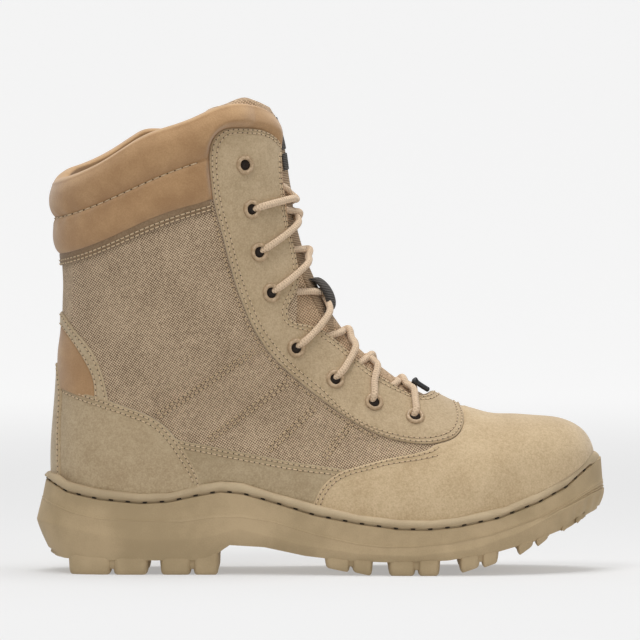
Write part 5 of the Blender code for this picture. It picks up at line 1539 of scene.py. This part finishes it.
@dataclass
class Eyelets:
    """Rolled metal rings of both facings."""

    shop: Workshop
    bore: float = 0.0026
    radius: float = 0.0050
    seat: float = 0.0020
    segments: int = 28

    def spots(self) -> dict:
        """Place and column of every eyelet by side and number from the top."""
        found = {}
        for side in Side:
            path, _ = LAST.locate(side_points(EYELETS), side)
            for number, spot in enumerate(path, start=1):
                found[side, number] = spot
        return found

    def _turned(self, name: str, reach: np.ndarray, rise: np.ndarray) -> bpy.types.Object:
        """A closed section, given as reach and rise, turned about the normal of each seat."""
        spots = np.array(list(self.spots().values()))
        seat, normal = LAST.at(spots, self.seat + LAST.relief(LAST.at(spots))), LAST.facing(spots)
        first = unit(np.cross(normal, np.array([0.0, 0.0, 1.0])))
        second = np.cross(normal, first)
        turn = circle(self.segments)[None, :, None]
        ray = first[:, None] * np.cos(turn) + second[:, None] * np.sin(turn)
        shape = (seat[:, None, None] + ray[:, :, None] * reach[None, None, :, None]
                 + normal[:, None, None] * rise[None, None, :, None])
        return copies(name, shape.reshape(len(spots), -1, 3),
                      ring_faces(self.segments, len(reach), True))

    def build(self) -> None:
        """The rings, each a rolled section, and a dark closed dish of painted shade in each bore.
        """
        ring = circle(12)
        middle = (self.bore + self.radius) / 2.0
        half = (self.radius - self.bore) / 2.0
        rise = 0.0003 + 0.0011 * np.sin(ring)
        rise = np.where(np.cos(ring) < -0.8, rise - 0.0010, rise)
        made = self._turned("eyelet_rings", middle + half * np.cos(ring), rise)
        nodes = tuple(f"eyelet_{letter}{number}" for letter in "LM" for number in range(1, 9))
        self.shop.hand_in(made, EYELET_COAT, "eyelet_metal", nodes)
        reach = np.array([0.00004, 0.00004, self.bore + 0.0002, self.bore + 0.0002])
        made = self._turned("eyelet_holes", reach, np.array([-0.0006, 0.00004, 0.00012, -0.0006]))
        self.shop.hand_in(made, HOLE_SHADE, "eyelet_metal")


@dataclass
class Laces:
    """Two ends of one round lace, crossed over the tongue through seven eyelet pairs."""

    shop: Workshop
    eyelets: Eyelets
    radius: float = 0.0019
    over: float = 0.0038
    crest: float = -0.0020
    below: float = -0.0032
    lap: float = 0.0013
    spacing: float = 0.0011
    squash: float = 0.35
    # Crest place of each run, by the eyelet that it leaves
    crossings: dict = field(default_factory=lambda: {
        2: 0.459, 3: 0.4647, 4: 0.4820, 5: 0.5135, 6: 0.551, 7: 0.592, 8: 0.645})

    def _crest_spot(self, share: float) -> np.ndarray:
        """Place on the crest at a length share."""
        path = np.stack([np.linspace(0.0, 0.8, 900), np.full(900, HALF_TURN)], axis=1)
        return path[np.argmin(np.abs(LAST.at(path)[:, 0] - side_x(share)))]

    def _run(self, spots: dict, side: Side, number: int) -> list:
        """Way points of one run: out of its eyelet, over the facing, down to the tongue,
        over the crest and under the other facing."""
        start = spots[side, number]
        crest = self._crest_spot(self.crossings[number])
        lap = self.lap if (side is Side.LATERAL) == (number % 2 == 0) else -self.lap
        goal = spots[side.other, max(number - 1, 1)]
        rising = ((0.0, self.below), (0.04, 0.0004), (0.10, self.over - 0.0006),
                  (0.24, self.over), (0.46, self.over), (0.62, self.over - 0.0008),
                  (0.78, self.crest + 0.0018), (1.0, self.crest + lap))
        falling = ((0.16, self.crest - 0.0004), (0.36, self.below + 0.0008),
                   (0.60, self.below), (0.92, self.below))
        return ([(start + (crest - start) * share, offset) for share, offset in rising]
                + [(crest + (goal - crest) * share, offset) for share, offset in falling])

    def _cord(self, name: str, way: list, nodes: tuple[str, ...]) -> None:
        """One lace end: a cubic through its way points, a little flat under the facings."""
        path = np.array([spot for spot, _ in way])
        offset = np.array([depth for _, depth in way])
        world = LAST.at(path, offset)
        along = lengths(world)
        keep = np.concatenate([[True], np.diff(along) > 1e-5])
        want = np.linspace(0.0, along[-1], int(along[-1] / self.spacing))
        points = spline(along[keep], world[keep], want)
        up = LAST.facing(sample(want, along, path))
        depth = np.interp(want, along, offset)
        flat = 1.0 - self.squash * ease((-0.0020 - depth) / 0.0012)
        made = tube(name, points, self.radius, 12, up, flat)
        self.shop.hand_in(made, LACE_BRAID, "lace", nodes)

    def build(self) -> None:
        """Both ends, the bottom bar and the black tag."""
        spots = self.eyelets.spots()
        for start, label in ((Side.LATERAL, "first"), (Side.MEDIAL, "second")):
            side = start
            way = []
            for number in range(8, 1, -1):
                way += self._run(spots, side, number)
                side = side.other
            nodes = tuple(f"lace_cross_{n}" for n in range(1, 7)) if label == "first" else ()
            self._cord(f"lace_{label}_end", way, nodes)
        middle = self._crest_spot(0.668)
        left, right = spots[Side.LATERAL, 8], spots[Side.MEDIAL, 8]
        way = [(left, self.below), (left + (middle - left) * 0.3, self.below),
               (middle + (left - middle) * 0.3, -0.0026), (middle, -0.0016),
               (middle + (right - middle) * 0.3, -0.0026),
               (right + (middle - right) * 0.3, self.below), (right, self.below)]
        self._cord("lace_bottom_bar", way, ("lace_bar",))
        self._tag()

    def _tag(self) -> None:
        """Plain black tag: a round head and a strap that lies on the tip of the facing."""
        head, tail = self._crest_spot(0.656), self._crest_spot(0.688)
        share = np.linspace(0.0, 1.0, 30)
        path = head + (tail - head) * share[:, None] - np.array([0.0, 0.25])
        rise = 0.0026 - 0.0012 * share
        points = LAST.at(path, rise)
        swell = 0.0018 + 0.0010 * np.exp(-((share - 0.14) / 0.12) ** 2)
        swell *= np.sqrt(np.clip(np.minimum(share, 1.0 - share) * 16.0, 0.02, 1.0))
        made = tube("lace_tag_strap", points, swell, 12, LAST.facing(path), 0.75)
        self.shop.hand_in(made, BLACK_TAG, "black_tag", ("lace_tag",))


@dataclass
class Sole:
    """Cup outsole, its lugs, the welt bead and the footbed."""

    shop: Workshop
    round_points: int = 420
    lug_corner: float = 0.28
    lug_gap: float = 0.0034
    lug_split: float = 0.55
    lug_inset: float = 0.0025
    lug_core: float = 0.0105
    notch: float = 0.0030
    stud_half: float = 0.0052
    toe_teeth: float = 0.0007
    toe_ridge: float = 0.0005
    heel_saw: float = 0.0011
    points: np.ndarray = field(init=False)
    normal: np.ndarray = field(init=False)

    def __post_init__(self) -> None:
        """Works out the plan outline, even by length from the heel, and its normals."""
        table = np.asarray(OUTLINE)
        x = side_x(table[:, 0])
        loop = np.concatenate([np.stack([x, table[:, 1]], 1),
                               np.stack([x, table[:, 2]], 1)[::-1][1:-1]])
        wrapped = np.concatenate([loop[-4:], loop, loop[:5]])
        along = lengths(wrapped)
        points = spline(along, wrapped, np.linspace(along[4], along[4 + len(loop)],
                                                    self.round_points + 1)[:-1])
        low, high = points.min(axis=0), points.max(axis=0)
        self.points = (points - (low + high) / 2.0) / (high - low) * np.array([LENGTH, SOLE_WIDTH])
        tangent = np.roll(self.points, -1, axis=0) - np.roll(self.points, 1, axis=0)
        normal = unit(np.stack([tangent[:, 1], -tangent[:, 0]], axis=1))
        outward = np.mean(np.sum(normal * self.points, axis=1)) > 0.0
        self.normal = normal if outward else -normal

    def ring(self, height: np.ndarray, insets: tuple[float, float, float],
             extra: np.ndarray | float = 0.0) -> np.ndarray:
        """Ring of the sole: the outline drawn in by side, heel and toe insets."""
        ends = np.where(self.normal[:, 0] < 0.0, insets[1], insets[2])
        inset = insets[0] + (ends - insets[0]) * self.normal[:, 0] ** 2 + extra
        flat = self.points - self.normal * inset[:, None]
        return np.stack([flat[:, 0], flat[:, 1], height], axis=1)

    def body(self) -> None:
        """Cup: rim, groove, band, step, lower wall with its ribs, and the tread face."""
        x = self.points[:, 0]
        toe = ease((x - side_x(0.86)) / 0.02)
        heel = ease((side_x(0.035) - x) / 0.008)
        groove, step = level(GROOVE, x), level(STEP, x)
        widest, tread = level(WIDEST, x), level(TREAD, x)
        rows = []

        def add(height: np.ndarray, insets: tuple[float, float, float],
                extra: np.ndarray | float = 0.0) -> None:
            """One more ring of the cup."""
            rows.append(self.ring(height, insets, extra))

        for depth, inset in ((0.0060, 0.0090), (0.0002, 0.0075)):
            add(groove - depth, (inset, inset + 0.002, inset))
        add(groove, (0.0042, 0.0062, 0.0030))
        add(groove, (0.0034, 0.0054, 0.0022))
        add(groove - 0.0003, (0.0030, 0.0050, 0.0018))
        for share in np.linspace(0.10, 0.92, 9):
            add(groove + (step - groove) * share,
                (0.0030 - 0.0016 * share, 0.0050 - 0.0020 * share, 0.0018 - 0.0010 * share))
        add(step + 0.0006, (0.0012, 0.0028, 0.0006))
        add(step, (0.0013, 0.0029, 0.0007))
        add(step - 0.0008, (0.0011, 0.0027, 0.0005))
        wave = np.sin(np.arctan2(self.points[:, 1], x) * 95.0)
        teeth = self.toe_teeth * toe * (0.5 + 0.5 * np.sign(wave))
        for share in np.linspace(0.08, 0.95, 12):
            ridge = self.toe_ridge * toe * (np.sin(share * math.pi * 6.0) > 0.2)
            add(step + (widest - step) * share,
                (0.0012 * (1 - share), 0.0028 * (1 - share), 0.0006 * (1 - share)), ridge)
        for share in np.linspace(0.0, 1.0, 14):
            bend = share ** 1.8
            saw = heel * (math.sin(share * 50.0) > 0.0) * (share > 0.8)
            serrated = teeth + self.heel_saw * saw
            add(widest + (tread - widest) * share,
                (0.0024 * bend, 0.0074 * share ** 1.2, 0.0026 * bend), serrated * (share > 0.15))
        add(tread - 0.0001, (0.0032, 0.0096, 0.0038))
        made = self._closed("outsole_cup", np.array(rows), FLOOR, TREAD)
        self.shop.hand_in(made, SOLE_RUBBER, "outsole", ("outsole",))

    def _closed(self, name: str, grid: np.ndarray, top_line: Line | None = None,
                foot_line: Line | None = None) -> bpy.types.Object:
        """Closes a stack of rings: each end is ruled across from the lateral to the medial
        side, so its rows stay level."""
        rings, count = grid.shape[:2]
        half = count // 2
        vertices = [grid.reshape(-1, 3)]
        faces = ring_faces(rings, count).tolist()
        total = rings * count
        across = 9
        for base, ring, line in ((0, grid[0], top_line),
                                 ((rings - 1) * count, grid[-1], foot_line)):
            share = np.linspace(0.0, 1.0, across + 2)[1:-1][None, :, None]
            inner = blend(ring[1:half, None], ring[:half:-1, None], share)
            if line is not None:
                inner[..., 2] = level(line, inner[..., 0])
            vertices.append(inner.reshape(-1, 3))
            index = total + np.arange(inner.shape[0] * across).reshape(inner.shape[0], across)
            left = (base + np.arange(1, half))[:, None]
            right = (base + count - np.arange(1, half))[:, None]
            index = np.concatenate([left, index, right], axis=1)
            faces += np.stack([index[:-1, :-1], index[:-1, 1:], index[1:, 1:], index[1:, :-1]],
                              axis=-1).reshape(-1, 4).tolist()
            for tip, row in ((base, index[0]), (base + half, index[-1])):
                faces += np.stack([np.full(across + 1, tip), row[:-1], row[1:]], 1).tolist()
            total += inner.shape[0] * across
        return finished(name, np.concatenate(vertices), faces, weld=1e-6, crease=42.0)

    def _edge(self, x: np.ndarray, side: Side, inset: float) -> np.ndarray:
        """Sideways place of the drawn-in outline at world X."""
        flat = self.points - self.normal * inset
        half = self.round_points // 2
        chosen = flat[1:half] if side is Side.LATERAL else flat[half + 1:][::-1]
        order = np.argsort(chosen[:, 0])
        return np.interp(x, chosen[order, 0], chosen[order, 1])

    def lugs(self) -> None:
        """Blocks under the tread: a rounded plan with a notch in its outer side, drawn in
        towards the ground, and small blocks down the middle."""
        turn = circle(72) + 0.02
        squared = [squarish(f(turn), self.lug_corner) for f in (np.cos, np.sin)]
        across, out = (squared[0] + 1.0) / 2.0, (squared[1] + 1.0) / 2.0
        blocks = []
        plans = []
        gap = self.lug_gap
        for start, end, first, last in LUGS:
            for side in Side:
                cut = start + (end - start) * self.lug_split
                mid = first + (last - first) * self.lug_split
                plans += [(start, cut - gap, first, mid, side, 0.0),
                          (cut + gap, end, mid, last, side, 0.0),
                          (cut - gap * 2, cut + gap * 2, mid, mid, side, self.notch)]
        # Growth of each ring, and its height over the tread for two and over the floor line
        shrink = ((-0.0002, 0.0030), (0.0008, 0.0), (0.0004, 0.0025), (0.0, 0.0008),
                  (-0.0007, 0.0))
        for start, end, first, last, side, short in plans:
            rings = []
            for number, (grow, drop) in enumerate(shrink):
                x0, x1 = side_x(start) - grow, side_x(end) + grow
                x = x0 + (x1 - x0) * across
                edge = self._edge(x, side, self.lug_inset - grow + 0.4 * short)
                inner = side.value * (self.lug_core - grow) + 0.0004
                y = inner + (edge - inner) * out
                lift = (first + (last - first) * np.clip(across, 0, 1)) * HEIGHT
                z = level(TREAD, x) + drop if number < 2 else lift + drop + short
                rings.append(np.stack([x, y, z], axis=1))
            blocks.append(np.array(rings))
        for start, end, first, last in LUGS:
            for share in (0.27, 0.73):
                centre = side_x(start + (end - start) * share)
                size = (side_x(end) - side_x(start)) * 0.19
                rings = []
                for number, (grow, drop) in enumerate(shrink):
                    x = centre + (size + grow) * squared[0]
                    x = x + 0.0022 * (1.0 - np.abs(squared[1]))
                    y = (self.stud_half + grow) * squared[1]
                    lift = (first + (last - first) * share) * HEIGHT + 0.0002
                    z = level(TREAD, x) + drop if number < 2 else np.full(len(x), lift + drop)
                    rings.append(np.stack([x, y, z], axis=1))
                blocks.append(np.array(rings))
        shape = np.array(blocks)
        many, rings, count = shape.shape[:3]
        sides = ring_faces(rings, count)
        listed = []
        for base in range(0, many * rings * count, rings * count):
            listed += (sides + base).tolist()
            for start in (base, base + (rings - 1) * count):
                listed.append(list(range(start, start + count)))
        made = finished("outsole_lugs", shape, listed, crease=38.0)
        self.shop.hand_in(made, SOLE_RUBBER, "outsole")

    def welt(self) -> None:
        """Bead round the feather line over a narrow stitched channel: a rounded section carried
        round the sole, with short dark dashes of painted shade in the channel."""
        x = np.minimum(self.points[:, 0], side_x(0.979))
        feather, groove = level(FEATHER, x), level(GROOVE, x)
        # Height line, insets at side, heel and toe, and rise above that line
        table = (
            (feather, 0.0088, 0.0109, 0.0096, -0.0030), (feather, 0.0066, 0.0088, 0.0076, -0.0005),
            (feather, 0.0050, 0.0074, 0.0062, 0.0003), (feather, 0.0035, 0.0059, 0.0048, -0.0001),
            (feather, 0.0024, 0.0049, 0.0036, -0.0010), (feather, 0.0018, 0.0043, 0.0027, -0.0022),
            (groove, 0.0018, 0.0043, 0.0021, 0.0024), (groove, 0.0025, 0.0050, 0.0024, 0.0013),
            (groove, 0.0040, 0.0062, 0.0034, 0.0009), (groove, 0.0040, 0.0062, 0.0034, 0.0003),
            (groove, 0.0046, 0.0068, 0.0040, -0.0004), (groove, 0.0088, 0.0109, 0.0092, -0.0006),
        )
        rows = [self.ring(height + rise, insets) for height, *insets, rise in table]
        made = to_mesh("welt_bead", np.array(rows).transpose(1, 0, 2), closed=True)
        self.shop.hand_in(made, WELT_RUBBER, "welt", ("welt",))
        channel = self.ring(groove + 0.0006, (0.0031, 0.0054, 0.0024))
        outward = np.concatenate([self.normal, np.zeros((len(channel), 1))], axis=1)
        dashes = Thread(pitch=0.0091, rise=0.0, span=0.26)
        made = dashes.sew("channel_dashes", [(channel, outward)])
        self.shop.hand_in(made, HOLE_SHADE, "welt")

    def insole(self) -> None:
        """Footbed: a thin slab along the floor line, its rim raised a little."""
        floor = level(FLOOR, self.points[:, 0])
        table = ((0.0120, 0.0046), (0.0098, 0.0048), (0.0090, 0.0036), (0.0092, 0.0012),
                 (0.0115, 0.0006))
        rows = [self.ring(floor + rise, (inset, inset + 0.0025, inset + 0.001))
                for inset, rise in table]
        made = self._closed("insole_footbed", np.array(rows))
        self.shop.hand_in(made, INSOLE_CLOTH, "insole", ("insole",))

    def build(self) -> None:
        """Every piece of the sole."""
        self.body()
        self.lugs()
        self.welt()
        self.insole()


@dataclass
class Zip:
    """Medial zip: tape, coil, slider and its swinging pull."""

    shop: Workshop
    tape_half: float = 0.0058
    tape: float = 0.0026
    tape_roll: float = 0.0012
    tape_seam: float = 0.0014
    coil_pitch: float = 0.0014
    coil_half: float = 0.0024
    wire: float = 0.0006
    hinge: np.ndarray = field(init=False)
    across: np.ndarray = field(init=False)

    def __post_init__(self) -> None:
        """Reads where the pull swings from the frame's only joint."""
        joint = frame["joints"][0]
        self.hinge = np.array(joint["pos_m"])
        self.across = -np.array(joint["axis"])

    def _line(self, shift: float) -> np.ndarray:
        """The zip's line on the medial side, moved sideways."""
        fine = smooth(ZIP_LINE, 0.001)
        way = unit(np.gradient(fine, axis=0))
        path, _ = LAST.locate(fine + shift * np.stack([-way[:, 1], way[:, 0]], 1), Side.MEDIAL)
        return path

    def build(self) -> None:
        """Every piece of the zip."""
        first, second = (LAST.even(self._line(s), 110, True)
                         for s in (self.tape_half, -self.tape_half))
        tape = Panel("zip_tape_cloth", first, second, 0.0002, self.tape, 10, self.tape_roll,
                     (0.0012,), (0.0012,))
        self.shop.hand_in(tape.build(), ZIP_CLOTH, "zip_tape", ("zip_band",))
        rows = [tape.row(self.tape_seam, far) for far in (False, True)]
        self.shop.hand_in(Thread(pitch=0.0028).sew("zip_stitches", rows), SEWING, "zip_tape")
        self._coil()
        self._slider()

    def _coil(self) -> None:
        """Closed coil: small rounded links laid left and right in turn down the line."""
        path = LAST.even(self._line(0.0), 400)
        world = LAST.at(path, self.tape + 0.0002 + LAST.relief(LAST.at(path)))
        along = lengths(world)
        want = np.arange(0.020, along[-1] - 0.003, self.coil_pitch)
        spot = sample(want, along, world)
        up = LAST.facing(sample(want, along, path))
        way = unit(sample(want, along, np.gradient(world, along, axis=0)))
        turn = circle(8)
        reach = np.linspace(-1.0, 1.0, 7)
        bow = np.sqrt(1.0 - 0.85 * reach ** 2)
        local = np.stack([np.broadcast_to(reach[:, None] * self.coil_half, (7, 8)),
                          bow[:, None] * 0.00052 * np.cos(turn) + 0.0003 * reach[:, None],
                          bow[:, None] * (self.wire * np.sin(turn) + 0.0007)],
                         -1).reshape(-1, 3)
        axes = np.stack([np.cross(way, up), way, up], axis=1)
        shape = spot[:, None] + np.einsum("vk,nkd->nvd", local, axes)
        caps = [[base + k for k in quad] for base in (0, 48)
                for quad in ((0, 1, 2, 3), (3, 4, 7, 0), (4, 5, 6, 7))]
        made = copies("zip_coil_links", shape, np.concatenate([ring_faces(7, 8), caps]))
        self.shop.hand_in(made, ZIP_COIL, "zip_coil", ("zip_teeth",))

    def _slider(self) -> None:
        """Slider and pull: rounded plates in the hinge's own frame."""
        top = LAST.even(self._line(0.0), 400)
        near = top[np.argmin(np.linalg.norm(LAST.at(top) - self.hinge, axis=1))]
        up = LAST.facing(near)
        up -= self.across * (up @ self.across)
        up /= np.linalg.norm(up)
        way = np.cross(up, self.across)
        if way[2] < 0.0:
            way = -way
        axes = np.stack([self.across, way, up])

        def plate(name: str, outline: np.ndarray, low: float, high: float,
                  edge: float = 0.0002) -> bpy.types.Object:
            """A flat plate with rounded rims from its outline in across and way."""
            inward = unit(outline.mean(axis=0) - outline)
            rings = []
            for inset, height in ((edge, low), (0.0, low + edge), (0.0, high - edge),
                                  (edge, high)):
                drawn = outline + inward * inset
                local = np.concatenate([drawn, np.full((len(outline), 1), height)], axis=1)
                rings.append(self.hinge + local @ axes)
            return to_mesh(name, np.array(rings), crease=40.0)

        def barrel(name: str, half: float, radius: float, sides: int) -> bpy.types.Object:
            """A short round bar along the hinge."""
            path = self.hinge + np.linspace(-half, half, 5)[:, None] * self.across
            return tube(name, path, radius, sides, np.broadcast_to(up, path.shape))

        turn = circle(40)
        cos, sin = np.cos(turn), np.sin(turn)
        body = np.stack([squarish(cos, 0.6) * (0.0042 + 0.0010 * (sin > 0) * sin),
                         squarish(sin, 0.6) * 0.0056 + 0.0022], axis=1)
        slider = plate("slider_body", body, -0.0050, -0.0018, 0.0005)
        self.shop.hand_in(slider, ZIP_METAL, "zip_metal", ("zip_slider",))
        for edge, label in ((-1.0, "near"), (1.0, "far")):
            ear = np.stack([edge * 0.0027 + 0.0005 * cos, 0.0017 * sin], axis=1)
            self.shop.hand_in(plate(f"slider_ear_{label}", ear, -0.0030, 0.0011), ZIP_METAL,
                              "zip_metal")
        self.shop.hand_in(barrel("slider_pin", 0.0029, 0.0005, 12), ZIP_METAL, "zip_metal")
        tab = np.stack([squarish(cos, 0.5) * (0.0031 - 0.0012 * ease(sin)),
                        squarish(sin, 0.5) * 0.0105 - 0.0133], axis=1)
        neck = np.stack([0.0017 * squarish(cos, 0.4), 0.0016 * squarish(sin, 0.4) - 0.0022], axis=1)
        for made, nodes in ((plate("pull_tab_plate", tab, -0.0005, 0.0005), ("zip_pull",)),
                            (barrel("pull_tab_knuckle", 0.0018, 0.0012, 16), ()),
                            (plate("pull_tab_neck", neck, -0.0005, 0.0005), ())):
            self.shop.hand_in(made, ZIP_METAL, "zip_metal", nodes, "pull")


@dataclass
class Studio:
    """Camera, light and the pale sweep that the boot stands on."""

    lens: float = 380.0
    elevation: float = 1.2
    aim: tuple[float, float, float] = (-0.0005, 0.0, 0.1345)
    frame_width: float = 0.3437
    paper: float = 0.45
    near_glow: float = 0.35
    far_glow: float = 0.66
    air: float = 0.34
    # Name, place, size and power of each light
    lamps: tuple = (("key_light", (-0.5, -1.2, 1.9), 0.9, 15.5),
                    ("fill_light", (1.2, -1.4, 0.8), 1.2, 5.0),
                    ("top_light", (0.1, 0.1, 1.9), 1.0, 19.0))

    def camera(self) -> None:
        """Side view from the lateral side with a long lens."""
        data = bpy.data.cameras.new("side_camera")
        data.lens = self.lens
        made = bpy.data.objects.new("side_camera", data)
        bpy.context.scene.collection.objects.link(made)
        distance = self.frame_width * self.lens / 36.0
        tilt = math.radians(self.elevation)
        back = Vector((0.0, -math.cos(tilt), math.sin(tilt)))
        made.location = Vector(self.aim) + back * distance
        made.rotation_euler = (-back).to_track_quat("-Z", "Y").to_euler()
        data.clip_start, data.clip_end = 0.05, 30.0
        bpy.context.scene.camera = made

    def lamp(self, name: str, place: tuple, size: float, power: float) -> None:
        """A soft square light that faces the boot."""
        data = bpy.data.lights.new(name, "AREA")
        data.size = size
        data.energy = power
        made = bpy.data.objects.new(name, data)
        made.location = place
        made.rotation_euler = (Vector((0.0, 0.0, 0.1)) - Vector(place)).to_track_quat(
            "-Z", "Y").to_euler()
        bpy.context.scene.collection.objects.link(made)

    def sweep(self) -> None:
        """Floor that curves up behind: a level plane, a quarter circle and a wall."""
        turn = np.linspace(0.0, math.pi / 2, 24)
        y = np.concatenate([[-6.0], 3.0 + 1.5 * np.sin(turn), [4.5]])
        z = np.concatenate([[0.0], 1.5 - 1.5 * np.cos(turn), [6.0]])
        grid = np.array([[(-6.0, a, b), (6.0, a, b)] for a, b in zip(y, z)])
        index = np.arange(len(y) - 1)[:, None] * 2
        faces = np.concatenate([index, index + 1, index + 3, index + 2], axis=1)
        data = bpy.data.meshes.new("studio_sweep")
        data.from_pydata(grid.reshape(-1, 3), [], faces.tolist())
        data.shade_smooth()
        made = bpy.data.objects.new("studio_sweep", data)
        bpy.context.scene.collection.objects.link(made)
        dye = Dye("studio_paper", 0.9, 0.0, 0.0)
        back = dye.ramp(dye.split(dye.spot())[1], 0.3, 3.0)
        glow = dye.mix(back, (*[self.near_glow] * 3, 1.0), (*[self.far_glow] * 3, 1.0))
        dye.feed("Emission Color", glow)
        dye.shader.inputs["Base Color"].default_value = (*[self.paper] * 3, 1.0)
        dye.shader.inputs["Emission Strength"].default_value = 1.0
        data.materials.append(dye.material)

    def build(self) -> None:
        """Sets up the studio."""
        scene = bpy.context.scene
        scene.view_settings.view_transform = "Standard"
        world = bpy.data.worlds.new("studio_air")
        scene.world = world
        world.use_nodes = True
        backdrop = world.node_tree.nodes["Background"]
        backdrop.inputs[0].default_value = (1.0, 1.0, 1.0, 1.0)
        backdrop.inputs[1].default_value = self.air
        self.sweep()
        for name, place, size, power in self.lamps:
            self.lamp(name, place, size, power)
        self.camera()


def main() -> None:
    """Builds and dresses the boot, then sets up the studio."""
    logging.basicConfig(level=logging.INFO, format="%(name)s %(message)s")
    shop = Workshop()
    Upper(shop).build()
    Collar(shop).build()
    Tongue(shop).build()
    eyelets = Eyelets(shop)
    eyelets.build()
    Laces(shop, eyelets).build()
    Sole(shop).build()
    Zip(shop).build()
    Studio().build()


if __name__ == "__main__":
    main()
